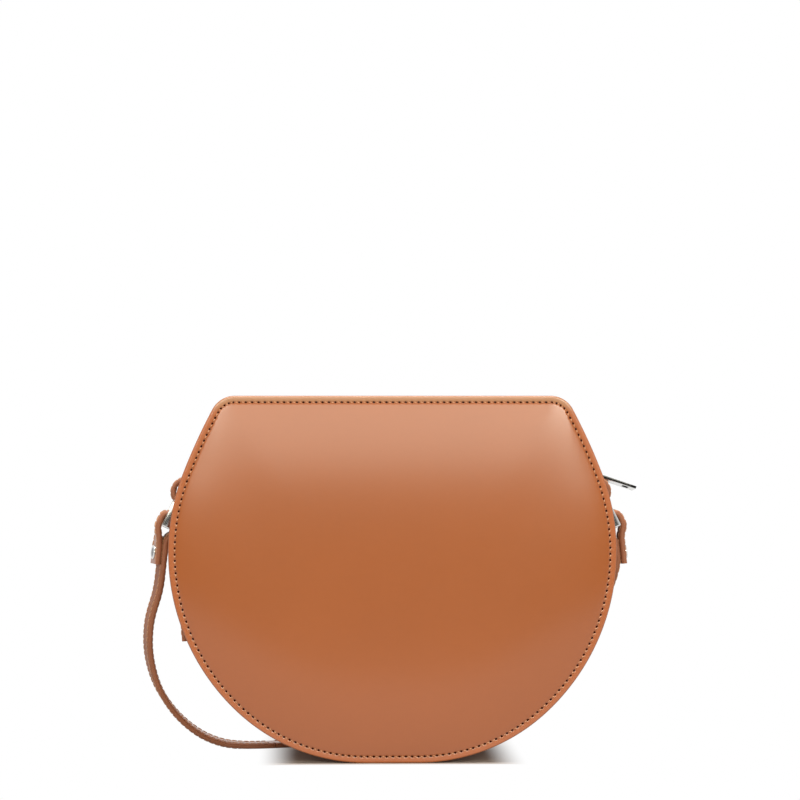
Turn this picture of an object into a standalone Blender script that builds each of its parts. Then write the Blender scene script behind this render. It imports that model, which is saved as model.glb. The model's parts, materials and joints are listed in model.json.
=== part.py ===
"""Half moon shoulder bag: two stiff leather panels on a flanged gusset, zipped round the shoulders.

Frame: +X to the bag's right as seen from the front, +Y from the front panel to the back, +Z up.
The origin is the middle of the front panel's bottom edge, halfway through the panel's thickness.
"""

import math

import bmesh
import bpy
from mathutils import Matrix, Vector

MM = 0.001

# Outline of both panels, as tangent arcs from the middle of the foot up to the middle of the top
BAG_WIDTH = 210.2 * MM
BAG_HEIGHT = 172.0 * MM
FOOT_FLAT = 24.0 * MM
FOOT_TURN = math.radians(43.2)
SIDE_RADIUS = 102.431195 * MM
SHOULDER_DROP = 36.4 * MM
SHOULDER_RADIUS = 270.0 * MM
CORNER_RADIUS = 12.0 * MM
ARC_STEP = math.radians(5.0)

# Layers, from the panel inwards
BAG_DEPTH = 60.0 * MM
SEAT_GAP = 0.3 * MM
PANEL_LEATHER = 2.0 * MM
PANEL_EDGE_ROUND = 0.35 * MM
PANEL_CROWN = 3.6 * MM
CROWN_START = 2.7 * MM
CROWN_REACH = 48.0 * MM
CROWN_RING = 8.0 * MM
CROWN_ROWS = (0.06, 0.16, 0.3, 0.5, 0.74)
CROWN_SPACING = 12.0 * MM
GUSSET_LEATHER = 1.2 * MM
GUSSET_BEND = 0.8 * MM
RIM_SETBACK = 0.3 * MM
RIM_DEPTH = 7.0 * MM
STIFFENER_BOARD = 1.0 * MM
GUSSET_BOARD = 0.8 * MM
LINING_CLOTH = 0.5 * MM
SEAM_INSET = 3.1 * MM
SEAM_THREAD = 0.5 * MM
POCKET_WIDTH = 120.0 * MM
POCKET_HEIGHT = 72.0 * MM
POCKET_BOTTOM = 56.0 * MM
POCKET_CORNER = 10.0 * MM
POCKET_CLOTH = 0.6 * MM

# Zip round the shoulders and the top
GUSSET_JOINT_ABOVE_LOOP = 5.2 * MM
LINING_OVERLAP = 4.0 * MM
TAPE_OVERLAP = 9.5 * MM
BOARD_BELOW_TAPE = 5.0 * MM
ZIP_OPENING = 13.0 * MM
TAPE_WIDTH = 14.0 * MM
TAPE_CLOTH = 0.6 * MM
FACING_MARGIN = 1.0 * MM
CHAIN_WIDTH = 5.4 * MM
CHAIN_HEIGHT = 2.4 * MM
CHAIN_SPLIT = 0.3 * MM
TOOTH_PITCH = 3.0 * MM
TOOTH_REACH = 0.9 * MM
STOP_LENGTH = 1.2 * MM
STOP_CLEARANCE = 0.3 * MM

# Slider and its puller
SLIDER_LENGTH = 7.4 * MM
SLIDER_WIDTH = 8.4 * MM
SLIDER_PLATE = 1.6 * MM
SLIDER_CLEARANCE = 0.5 * MM
SLIDER_WALL = 1.0 * MM
SLIDER_ABOVE_JOINT = 7.5 * MM
SLIDER_TRAVEL = 22.0 * MM
BRIDGE_LENGTH = 6.4 * MM
BRIDGE_WIDTH = 1.8 * MM
BRIDGE_BAR = 0.8 * MM
BRIDGE_OPENING = 1.9 * MM
PIVOT_ALONG_BRIDGE = 1.6 * MM
PULLER_LENGTH = 25.2 * MM
PULLER_WIDTH = 6.0 * MM
PULLER_PLATE = 0.8 * MM
PULLER_PIN = 1.1 * MM
PULLER_EYE = 5.6 * MM
PULLER_EYE_WIDTH = 2.5 * MM
PULLER_SLOT_END = 3.2 * MM
PULLER_SLOT = 3.0 * MM
PULLER_SLOT_WIDTH = 3.2 * MM
PULLER_CORNER = 0.5 * MM
PULLER_WINDOW_CORNER = 0.3 * MM

# Side tabs that carry the rings
TAB_LEATHER = 2.2 * MM
TAB_WIDTH = 12.0 * MM
TAB_BOTTOM = 55.4 * MM
TAB_LOOP_RADIUS = 5.9 * MM
TAB_LOOP_ABOVE_WIDEST = 27.5 * MM
TAB_LOOP_INSIDE = 3.5 * MM
TAB_NECK_TURN = math.radians(38.0)
TAB_NECK_RADIUS = 12.0 * MM
TAB_FOLD_RADIUS = 2.2 * MM
TAB_BACK_LEG = 10.0 * MM
TAB_LEG_STEPS = 3

# Rings
RING_LENGTH = 17.4 * MM
RING_HANG = math.radians(63.4)
RING_BAR = 1.8 * MM
RING_THICK = 4.0 * MM
RING_INNER_WIDTH = 13.4 * MM
RING_CORNER = 0.9 * MM
RING_EDGE_ROUND = 0.3 * MM
RING_PIVOT_OUT = 1.8 * MM
RING_PIVOT_DOWN = 0.4 * MM

# Shoulder strap
STRAP_WIDTH = 12.0 * MM
STRAP_LEATHER = 2.3 * MM
STRAP_END_BELOW_RING = 18.3 * MM
STRAP_LEAN = math.radians(6.0)
STRAP_LEG_GAP = 0.35 * MM
STRAP_OVER_RING = math.radians(117.0)
STRAP_CORNER_RADIUS = 3.5 * MM
STRAP_RISE = 3.6 * MM
STRAP_FOLD_RADIUS = 2.85 * MM
STRAP_THROUGH_RING = 4.0 * MM
STRAP_NECK_RADIUS = 4.0 * MM
STRAP_NECK_TURN = math.radians(50.0)
STRAP_SEAT = 7.2 * MM
STRAP_FLOOR_GAP = 0.2 * MM
STRAP_LANE_GAP = 0.8 * MM
STRAP_COIL_RADIUS = 50.0 * MM
STRAP_COIL_TURNS = 2
STRAP_COIL_STEPS = 24
COIL_SHIFT_START = 0.2
COIL_SHIFT = 0.6
STRAP_SPACING = 6.0 * MM

# Rivets through the strap's folded ends
RIVET_BELOW_RING = 12.9 * MM
RIVET_CAP = 6.8 * MM
RIVET_CAP_HEIGHT = 1.2 * MM
RIVET_POST = 2.4 * MM
RIVET_HOLE = 3.0 * MM

SAME_POINT = 0.001 * MM
MID_DEPTH = BAG_DEPTH / 2 - PANEL_LEATHER / 2
BACK_PANEL = BAG_DEPTH - PANEL_LEATHER


def fresh_collections():
    """Removes what the scene holds and makes one collection for the bag and one for its cutters."""
    for thing in list(bpy.data.objects):
        bpy.data.objects.remove(thing, do_unlink=True)
    bag = bpy.data.collections.new("half_moon_bag")
    cutters = bpy.data.collections.new("cutters")
    for collection in (bag, cutters):
        bpy.context.scene.collection.children.link(collection)
    return bag, cutters


BAG, CUTTERS = fresh_collections()


def finish(name, colour, roughness, metallic=0.0):
    """One Principled material."""
    made = bpy.data.materials.new(name)
    made.use_nodes = True
    shader = made.node_tree.nodes["Principled BSDF"]
    shader.inputs["Base Color"].default_value = (*colour, 1.0)
    shader.inputs["Roughness"].default_value = roughness
    shader.inputs["Metallic"].default_value = metallic
    return made


LEATHER = (0.44, 0.135, 0.052)
LINING = (0.36, 0.23, 0.14)
BOARD = (0.55, 0.50, 0.42)
TAPE = (0.33, 0.12, 0.055)
THREAD = (0.80, 0.42, 0.20)
SILVER = (0.80, 0.80, 0.81)


def place(thing, colour, roughness, metallic=0.0):
    """Links an object to the bag and gives it its own material."""
    BAG.objects.link(thing)
    thing.data.materials.append(finish(thing.name + "_finish", colour, roughness, metallic))
    return thing


# The rim: the outline followed by its length from the middle of the foot

def rim_spans():
    """The right half of the outline as (length, radius) spans, with no radius on a straight one."""
    half = BAG_WIDTH / 2
    foot_out = half - SIDE_RADIUS * (1 - math.sin(FOOT_TURN))
    foot_radius = (foot_out - FOOT_FLAT / 2) / math.sin(FOOT_TURN)
    foot_rise = foot_radius * (1 - math.cos(FOOT_TURN))
    widest = foot_rise + SIDE_RADIUS * math.cos(FOOT_TURN)
    over = math.asin((BAG_HEIGHT - SHOULDER_DROP - widest) / SIDE_RADIUS)
    lean = math.asin((SHOULDER_DROP - CORNER_RADIUS + SHOULDER_RADIUS * math.sin(over))
                     / (SHOULDER_RADIUS - CORNER_RADIUS))
    top_half = (half - SIDE_RADIUS * (1 - math.cos(over))
                - SHOULDER_RADIUS * (math.cos(over) - math.cos(lean))
                - CORNER_RADIUS * math.cos(lean))
    return [(FOOT_FLAT / 2, None),
            (foot_radius * FOOT_TURN, foot_radius),
            (SIDE_RADIUS * (math.pi / 2 - FOOT_TURN + over), SIDE_RADIUS),
            (SHOULDER_RADIUS * (lean - over), SHOULDER_RADIUS),
            (CORNER_RADIUS * (math.pi / 2 - lean), CORNER_RADIUS),
            (top_half, None)]


SPANS = rim_spans()
RIM_HALF = sum(length for length, radius in SPANS)
FOOT_RADIUS = SPANS[1][1]
SIDE_CENTRE_Z = FOOT_RADIUS * (1 - math.cos(FOOT_TURN)) + SIDE_RADIUS * math.cos(FOOT_TURN)
LOOP_HEIGHT = SIDE_CENTRE_Z + TAB_LOOP_ABOVE_WIDEST


def rim_at(station, inset=0.0):
    """Point (x, z) and outward direction on the rim, a length anticlockwise from the foot's middle."""
    along = station % (2 * RIM_HALF)
    side = 1.0
    if along > RIM_HALF:
        along = 2 * RIM_HALF - along
        side = -1.0
    x = z = heading = 0.0
    for length, radius in SPANS:
        step = min(along, length)
        if radius is None:
            x += step * math.cos(heading)
            z += step * math.sin(heading)
        else:
            turned = heading + step / radius
            x += radius * (math.sin(turned) - math.sin(heading))
            z += radius * (math.cos(heading) - math.cos(turned))
            heading = turned
        along -= step
        if along <= 0:
            break
    out_x, out_z = math.sin(heading), -math.cos(heading)
    return side * (x - inset * out_x), z - inset * out_z, side * out_x, out_z


def rim_stations(start, end):
    """Stations between two lengths: the ends of every span, and steps of ARC_STEP on its arcs."""
    half = [0.0]
    for length, radius in SPANS:
        steps = 1 if radius is None else max(1, math.ceil(length / radius / ARC_STEP))
        first = half[-1]
        half += [first + length * i / steps for i in range(1, steps + 1)]
    loop = half + [2 * RIM_HALF - s for s in reversed(half[1:-1])]
    both = [s - 2 * RIM_HALF for s in loop] + loop
    inside = [s for s in both if start + 0.2 * MM < s < end - 0.2 * MM]
    return [start] + inside + [end]


def side_station(height):
    """Length along the rim at which its right side stands at a height."""
    along = z = heading = 0.0
    for length, radius in SPANS:
        turned = heading if radius is None else heading + length / radius
        rise = 0.0 if radius is None else radius * (math.cos(heading) - math.cos(turned))
        if rise > 0.0 and z + rise >= height:
            return along + radius * (math.acos(math.cos(heading) - (height - z) / radius) - heading)
        along += length
        z += rise
        heading = turned
    raise ValueError("the side of the bag has no such height")


# Making the shapes

def new_mesh_object(name, mesh_builder):
    """An object whose mesh comes from a bmesh."""
    data = bpy.data.meshes.new(name)
    mesh_builder.normal_update()
    mesh_builder.to_mesh(data)
    mesh_builder.free()
    return bpy.data.objects.new(name, data)


def rim_sheet(name, start, end, section, thickness):
    """A sheet whose open section of (inset, y) points runs along the rim, thickened inwards."""
    net = bmesh.new()
    rows = []
    for station in rim_stations(start, end):
        row = []
        for inset, y in section:
            x, z, _, _ = rim_at(station, inset)
            row.append(net.verts.new((x, y, z)))
        rows.append(row)
    for near, far in zip(rows, rows[1:]):
        for i in range(len(section) - 1):
            net.faces.new((near[i], near[i + 1], far[i + 1], far[i]))
    sheet = new_mesh_object(name, net)
    wall = sheet.modifiers.new("thickness", "SOLIDIFY")
    wall.thickness = thickness
    wall.offset = -1.0
    wall.use_even_offset = True
    return sheet


def plate(name, outlines, thickness, edge_round=0.0):
    """A flat plate from closed outlines in its own XY plane, as a filled curve."""
    data = bpy.data.curves.new(name, "CURVE")
    data.dimensions = "2D"
    data.fill_mode = "BOTH"
    data.extrude = thickness / 2 - edge_round
    data.bevel_depth = edge_round
    data.bevel_resolution = 0
    data.offset = -edge_round
    for outline in outlines:
        spline = data.splines.new("POLY")
        spline.points.add(len(outline) - 1)
        for point, (x, y) in zip(spline.points, outline):
            point.co = (x, y, 0.0, 1.0)
        spline.use_cyclic_u = True
    return bpy.data.objects.new(name, data)


def stand_plate(thing, y):
    """Stands a plate up, its own Y along the world's Z, with its middle at a depth."""
    thing.matrix_world = Matrix.Translation((0.0, y, 0.0)) @ Matrix.Rotation(math.pi / 2, 4, "X")
    return thing


def rounded_rectangle(low, high, corner, steps=4):
    """Outline of a rectangle with round corners, anticlockwise."""
    outline = []
    centres = [(high[0] - corner, high[1] - corner), (low[0] + corner, high[1] - corner),
               (low[0] + corner, low[1] + corner), (high[0] - corner, low[1] + corner)]
    for quarter, (x, y) in enumerate(centres):
        for i in range(steps + 1):
            angle = math.pi / 2 * (quarter + i / steps)
            outline.append((x + corner * math.cos(angle), y + corner * math.sin(angle)))
    return outline


def ribbon(name, stations, width, thickness):
    """A flat band along stations of (point, outward normal, direction across the band)."""
    net = bmesh.new()
    rows = []
    for point, normal, across in stations:
        out = normal * (thickness / 2)
        side = across * (width / 2)
        corners = (point + out - side, point + out + side, point - out + side, point - out - side)
        rows.append([net.verts.new(corner) for corner in corners])
    for near, far in zip(rows, rows[1:]):
        for i in range(4):
            j = (i + 1) % 4
            net.faces.new((near[i], near[j], far[j], far[i]))
    net.faces.new(list(reversed(rows[0])))
    net.faces.new(rows[-1])
    bmesh.ops.recalc_face_normals(net, faces=net.faces)
    return new_mesh_object(name, net)


def flat_stations(path, y):
    """Stations of a band that lies across Y, along an (x, z) path."""
    stations = []
    last = len(path) - 1
    for i, (x, z) in enumerate(path):
        before = Vector(path[max(i - 1, 0)])
        after = Vector(path[min(i + 1, last)])
        run = (after - before).normalized()
        stations.append((Vector((x, y, z)), Vector((-run.y, 0.0, run.x)), Vector((0.0, 1.0, 0.0))))
    return stations


def walk(start, heading, moves, step=math.radians(15.0)):
    """Points of a path made of moves: ("line", length) or ("arc", radius, turn), turn left positive."""
    x, z = start
    points = [(x, z)]
    for move in moves:
        if move[0] == "line":
            if abs(move[1]) > SAME_POINT:
                x += move[1] * math.cos(heading)
                z += move[1] * math.sin(heading)
                points.append((x, z))
            continue
        _, radius, turn = move
        count = max(1, math.ceil(abs(turn) / step))
        hand = math.copysign(1.0, turn)
        for _ in range(count):
            turned = heading + turn / count
            x += hand * radius * (math.sin(turned) - math.sin(heading))
            z += hand * radius * (math.cos(heading) - math.cos(turned))
            heading = turned
            points.append((x, z))
    return points


def mirrored(path):
    """The same path on the bag's left."""
    return [(-x, z) for x, z in path]


def box_into(net, low, high):
    """Adds a box between two corners to a bmesh."""
    made = bmesh.ops.create_cube(net, size=1.0)
    size = Vector(high) - Vector(low)
    middle = (Vector(high) + Vector(low)) / 2
    bmesh.ops.scale(net, vec=size, verts=made["verts"])
    bmesh.ops.translate(net, vec=middle, verts=made["verts"])


def box_object(name, low, high, matrix):
    """A box between two corners, in a frame."""
    net = bmesh.new()
    box_into(net, low, high)
    thing = new_mesh_object(name, net)
    thing.matrix_world = matrix
    return thing


def cutter(thing):
    """Makes an object a hidden cutter."""
    CUTTERS.objects.link(thing)
    thing.hide_render = True
    thing.display_type = "WIRE"
    return thing


def combine(thing, other, operation):
    """Adds an exact Boolean with a cutter."""
    change = thing.modifiers.new(operation.lower() + "_" + other.name, "BOOLEAN")
    change.operation = operation
    change.object = cutter(other)
    change.solver = "EXACT"
    return thing


# Panels, boards, linings and seams

def outline_at(inset):
    """The closed outline, moved in by an inset."""
    stations = rim_stations(0.0, 2 * RIM_HALF)[:-1]
    return [rim_at(station, inset)[:2] for station in stations]


WEB_INNER = RIM_DEPTH + GUSSET_LEATHER
LAYER_INSET = WEB_INNER + SEAT_GAP
PANEL_INNER = PANEL_LEATHER / 2
BOARD_MIDDLE = PANEL_INNER + SEAT_GAP + STIFFENER_BOARD / 2
LINING_MIDDLE = BOARD_MIDDLE + STIFFENER_BOARD / 2 + SEAT_GAP + LINING_CLOTH / 2
LINING_INNER = LINING_MIDDLE + LINING_CLOTH / 2


def side_distance(x, z):
    """Distance in from the foot, the sides and the shoulders, measured on the spoke of each arc."""
    x = abs(x)
    nearest = z if x <= SPANS[0][0] else BAG_HEIGHT / 2
    along = SPANS[0][0]
    heading = 0.0
    for length, radius in SPANS[1:4]:
        edge_x, edge_z, out_x, out_z = rim_at(along)
        centre_x, centre_z = edge_x - radius * out_x, edge_z - radius * out_z
        turned = heading + length / radius
        last = math.pi if radius == SHOULDER_RADIUS else turned
        if heading <= math.atan2(x - centre_x, centre_z - z) <= last:
            nearest = min(nearest, radius - math.hypot(x - centre_x, z - centre_z))
        along += length
        heading = turned
    return nearest


def crown(x, z):
    """How far the front panel's face stands out: nothing at the seam, all of it past the reach."""
    height = PANEL_CROWN
    for distance in (side_distance(x, z), BAG_HEIGHT - z):
        share = min(max((distance - CROWN_START) / CROWN_REACH, 0.0), 1.0)
        height *= 1 - (1 - share) ** 3
    return height


def crown_stations():
    """Stations of a panel's edge, with its long straights divided."""
    stations = rim_stations(0.0, 2 * RIM_HALF)
    finer = []
    for near, far in zip(stations, stations[1:]):
        parts = max(1, round((far - near) / (1.5 * CROWN_SPACING)))
        finer += [near + (far - near) * i / parts for i in range(parts)]
    return finer


def crown_spokes(stations):
    """Which of the edge's stations have a spoke to the middle, alike on both sides."""
    half = len(stations) // 2
    points = [Vector(rim_at(station, CROWN_RING)[:2]) for station in stations]
    chosen = [0]
    for i in range(1, half):
        if (points[i] - points[chosen[-1]]).length >= CROWN_SPACING / 1.5:
            chosen.append(i)
    return chosen + [half] + [len(stations) - i for i in reversed(chosen[1:])]


def crowned_panel(name):
    """A panel that is flat inside, with its edges eased and its face crowned inside the seam."""
    net = bmesh.new()
    stations = crown_stations()
    spokes = crown_spokes(stations)
    face, ease = PANEL_LEATHER / 2, PANEL_EDGE_ROUND

    def ring(inset, y):
        return [net.verts.new((x, y, z)) for x, z, _, _ in (rim_at(s, inset) for s in stations)]
    rings = [ring(ease, face), ring(0.0, face - ease), ring(0.0, ease - face), ring(ease, -face),
             ring(CROWN_START, -face)]
    for near, far in zip(rings, rings[1:]):
        for i in range(len(stations)):
            j = (i + 1) % len(stations)
            net.faces.new((near[i], near[j], far[j], far[i]))
    net.faces.new(list(reversed(rings[0])))
    middle = Vector((0.0, BAG_HEIGHT / 2))
    rows = []
    for share in (0.0,) + CROWN_ROWS:
        row = []
        for i in spokes:
            x, z = Vector(rim_at(stations[i], CROWN_RING)[:2]).lerp(middle, share)
            row.append(net.verts.new((x, -face - crown(x, z), z)))
        rows.append(row)
    top = net.verts.new((middle.x, -face - crown(*middle), middle.y))
    for i, start in enumerate(spokes):
        j = (i + 1) % len(spokes)
        stop = spokes[j] or len(stations)
        halfway = (start + stop) // 2
        edge = [rings[-1][k % len(stations)] for k in range(start, stop + 1)]
        for k, (near, far) in enumerate(zip(edge, edge[1:])):
            net.faces.new((near, far, rows[0][i if start + k < halfway else j]))
        net.faces.new((edge[halfway - start], rows[0][j], rows[0][i]))
        for near, far in zip(rows, rows[1:]):
            net.faces.new((near[i], near[j], far[j], far[i]))
        net.faces.new((rows[-1][i], rows[-1][j], top))
    bmesh.ops.recalc_face_normals(net, faces=net.faces)
    return new_mesh_object(name, net)


def make_panels():
    """The crowned front panel and the flat back panel, with their boards and linings."""
    place(crowned_panel("front_panel"), LEATHER, 0.38)
    panel = plate("back_panel", [outline_at(0.0)], PANEL_LEATHER, PANEL_EDGE_ROUND)
    place(stand_plate(panel, BACK_PANEL), LEATHER, 0.38)
    for side, sign, panel_y in (("front", 1.0, 0.0), ("back", -1.0, BACK_PANEL)):
        board = plate(side + "_stiffener", [outline_at(LAYER_INSET)], STIFFENER_BOARD)
        place(stand_plate(board, panel_y + sign * BOARD_MIDDLE), BOARD, 0.85)
        lining = plate(side + "_lining", [outline_at(LAYER_INSET)], LINING_CLOTH)
        place(stand_plate(lining, panel_y + sign * LINING_MIDDLE), LINING, 0.9)


def make_pocket():
    """A patch pocket sewn flat on the back lining."""
    outline = rounded_rectangle((-POCKET_WIDTH / 2, POCKET_BOTTOM),
                                (POCKET_WIDTH / 2, POCKET_BOTTOM + POCKET_HEIGHT), POCKET_CORNER)
    pocket = plate("inner_pocket", [outline], POCKET_CLOTH)
    y = BACK_PANEL - LINING_INNER - SEAT_GAP - POCKET_CLOTH / 2
    place(stand_plate(pocket, y), LINING, 0.85)


def make_seam_threads():
    """The thread of the seam round each panel, as one closed loop a panel."""
    lift = PANEL_INNER + SEAT_GAP + SEAM_THREAD / 2
    raised = [crown(x, z) for x, z in outline_at(SEAM_INSET + SEAM_THREAD / 2)]
    flat = [0.0] * len(raised)
    for side, y, heights in (("front", -lift, raised), ("back", BACK_PANEL + lift, flat)):
        data = bpy.data.curves.new("seam_thread_" + side, "CURVE")
        data.dimensions = "3D"
        data.bevel_depth = SEAM_THREAD / 2
        data.bevel_resolution = 1
        spline = data.splines.new("POLY")
        outline = outline_at(SEAM_INSET)
        spline.points.add(len(outline) - 1)
        for point, (x, z), height in zip(spline.points, outline, heights):
            point.co = (x, y - height, z, 1.0)
        spline.use_cyclic_u = True
        place(bpy.data.objects.new(data.name, data), THREAD, 0.6)


# Gussets, their boards and linings, and the zip's tapes

FLANGE_FACE = PANEL_INNER + SEAT_GAP + GUSSET_LEATHER


def flange_section(side_sign, panel_y):
    """Finished side of a turned-out flange, from its edge through the bend to the web."""
    face = panel_y + side_sign * FLANGE_FACE
    section = [(RIM_SETBACK, face), (RIM_DEPTH - GUSSET_BEND, face)]
    for angle in (math.radians(45.0), math.radians(90.0)):
        section.append((RIM_DEPTH - GUSSET_BEND + GUSSET_BEND * math.sin(angle),
                        face + side_sign * GUSSET_BEND * (1 - math.cos(angle))))
    return section


FRONT_FLANGE = flange_section(1.0, 0.0)
BACK_FLANGE = flange_section(-1.0, BACK_PANEL)[::-1]
ZIP_FRONT_EDGE = MID_DEPTH - ZIP_OPENING / 2
ZIP_BACK_EDGE = MID_DEPTH + ZIP_OPENING / 2
JOINT_HEIGHT = LOOP_HEIGHT + GUSSET_JOINT_ABOVE_LOOP
JOINT = side_station(JOINT_HEIGHT)
TAPE_END = side_station(JOINT_HEIGHT - TAPE_OVERLAP)
OVER = 2 * RIM_HALF


def make_gussets():
    """The lower gusset and the two strips that hold the zip."""
    lower = rim_sheet("lower_gusset", -JOINT + SEAT_GAP / 2, JOINT - SEAT_GAP / 2,
                      FRONT_FLANGE + BACK_FLANGE, GUSSET_LEATHER)
    place(lower, LEATHER, 0.42)
    start, end = JOINT + SEAT_GAP / 2, OVER - JOINT - SEAT_GAP / 2
    front = rim_sheet("zip_gusset_front", start, end,
                      FRONT_FLANGE + [(RIM_DEPTH, ZIP_FRONT_EDGE)], GUSSET_LEATHER)
    back = rim_sheet("zip_gusset_back", start, end,
                     [(RIM_DEPTH, ZIP_BACK_EDGE)] + BACK_FLANGE, GUSSET_LEATHER)
    for strip in (front, back):
        place(strip, LEATHER, 0.42)


def make_gusset_layers():
    """The board and the lining of the lower gusset, and the lining strips beside the zip."""
    end = TAPE_END - BOARD_BELOW_TAPE
    edge = LINING_INNER + SEAT_GAP
    board = rim_sheet("gusset_stiffener", -end, end,
                      [(LAYER_INSET, edge), (LAYER_INSET, BACK_PANEL - edge)], GUSSET_BOARD)
    place(board, BOARD, 0.85)
    inset = LAYER_INSET + max(GUSSET_BOARD, TAPE_CLOTH) + SEAT_GAP
    end = JOINT - LINING_OVERLAP
    lining = rim_sheet("gusset_lining", -end, end,
                       [(inset, edge), (inset, BACK_PANEL - edge)], LINING_CLOTH)
    place(lining, LINING, 0.9)
    start = end + SEAT_GAP
    near, far = ZIP_FRONT_EDGE - FACING_MARGIN, ZIP_BACK_EDGE + FACING_MARGIN
    for side, low, high in (("front", edge, near), ("back", far, BACK_PANEL - edge)):
        facing = rim_sheet("zip_facing_" + side, start, OVER - start,
                           [(inset, low), (inset, high)], LINING_CLOTH)
        place(facing, LINING, 0.9)


def make_zip_tapes():
    """The two cloth tapes under the zip strips, up to the edge of the teeth."""
    edge = CHAIN_WIDTH / 2 + SEAT_GAP
    for side, sign in (("front", -1.0), ("back", 1.0)):
        low, high = sorted((MID_DEPTH + sign * edge, MID_DEPTH + sign * (edge + TAPE_WIDTH)))
        tape = rim_sheet("zip_tape_" + side, TAPE_END, OVER - TAPE_END,
                         [(LAYER_INSET, low), (LAYER_INSET, high)], TAPE_CLOTH)
        place(tape, TAPE, 0.8)


# Zip teeth, stops, slider and puller

CHAIN_TOP = LAYER_INSET + TAPE_CLOTH / 2 - CHAIN_HEIGHT / 2
SLIDER_STATION = side_station(JOINT_HEIGHT + SLIDER_ABOVE_JOINT)
CHAIN_START = SLIDER_STATION - SLIDER_LENGTH / 2
STOP_MIDDLE = CHAIN_START - STOP_CLEARANCE - STOP_LENGTH / 2


def make_teeth():
    """The two rows of teeth, as bars whose facing edges mesh in a zigzag."""
    length = OVER - 2 * CHAIN_START
    count = 2 * round(length / TOOTH_PITCH)
    for side, sign in (("front", -1.0), ("back", 1.0)):
        net = bmesh.new()
        rows = []
        for i in range(count + 1):
            swing = TOOTH_REACH / 2 * (1 if i % 2 else -1)
            inner = MID_DEPTH + swing + sign * CHAIN_SPLIT / 2
            outer = MID_DEPTH + sign * CHAIN_WIDTH / 2
            station = CHAIN_START + length * i / count
            row = []
            for inset, y in ((CHAIN_TOP, inner), (CHAIN_TOP, outer),
                             (CHAIN_TOP + CHAIN_HEIGHT, outer), (CHAIN_TOP + CHAIN_HEIGHT, inner)):
                x, z, _, _ = rim_at(station, inset)
                row.append(net.verts.new((x, y, z)))
            rows.append(row)
        for near, far in zip(rows, rows[1:]):
            for i in range(4):
                j = (i + 1) % 4
                net.faces.new((near[i], near[j], far[j], far[i]))
        net.faces.new(list(reversed(rows[0])))
        net.faces.new(rows[-1])
        bmesh.ops.recalc_face_normals(net, faces=net.faces)
        place(new_mesh_object("zip_teeth_" + side, net), SILVER, 0.3, 1.0)


def rim_frame(station, inset, along=None):
    """Frame on the rim: its X down the right side, its Y across the bag, its Z outwards."""
    x, z, out_x, out_z = rim_at(station, inset)
    if along is None:
        along = Vector((out_z, 0.0, -out_x))
    across = Vector((0.0, 1.0, 0.0))
    out = along.cross(across)
    turn = Matrix((along, across, out)).transposed().to_4x4()
    return Matrix.Translation((x, MID_DEPTH, z)) @ turn


def make_stops():
    """A stop for each row at the closed end, and one across both rows at the other end."""
    half = CHAIN_WIDTH / 2
    low, high = -CHAIN_HEIGHT, 0.0
    below = rim_frame(STOP_MIDDLE, CHAIN_TOP)
    for side, near, far in (("front", -half, -CHAIN_SPLIT), ("back", CHAIN_SPLIT, half)):
        stop = box_object("zip_top_stop_" + side, (-STOP_LENGTH / 2, near, low),
                          (STOP_LENGTH / 2, far, high), below)
        place(stop, SILVER, 0.3, 1.0)
    end = rim_frame(OVER - STOP_MIDDLE, CHAIN_TOP)
    stop = box_object("zip_bottom_stop", (-STOP_LENGTH / 2, -half, low),
                      (STOP_LENGTH / 2, half, high), end)
    place(stop, SILVER, 0.3, 1.0)


def slider_line():
    """Direction down the chord of the slider's straight travel, which ends before the top corner."""
    corner = sum(length for length, radius in SPANS[:4])
    far = SLIDER_STATION + min(SLIDER_TRAVEL, corner - SLIDER_STATION)
    x0, z0, _, _ = rim_at(SLIDER_STATION, RIM_DEPTH)
    x1, z1, _, _ = rim_at(far, RIM_DEPTH)
    return Vector((x0 - x1, 0.0, z0 - z1)).normalized()


SLIDER_FRAME = rim_frame(SLIDER_STATION, RIM_DEPTH, slider_line())
TOP_LOW = RIM_DEPTH - CHAIN_TOP + SLIDER_CLEARANCE
TOP_HIGH = TOP_LOW + SLIDER_PLATE
TAPE_TOP = RIM_DEPTH - LAYER_INSET
UNDER_HIGH = RIM_DEPTH - CHAIN_TOP - CHAIN_HEIGHT - SLIDER_CLEARANCE


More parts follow.
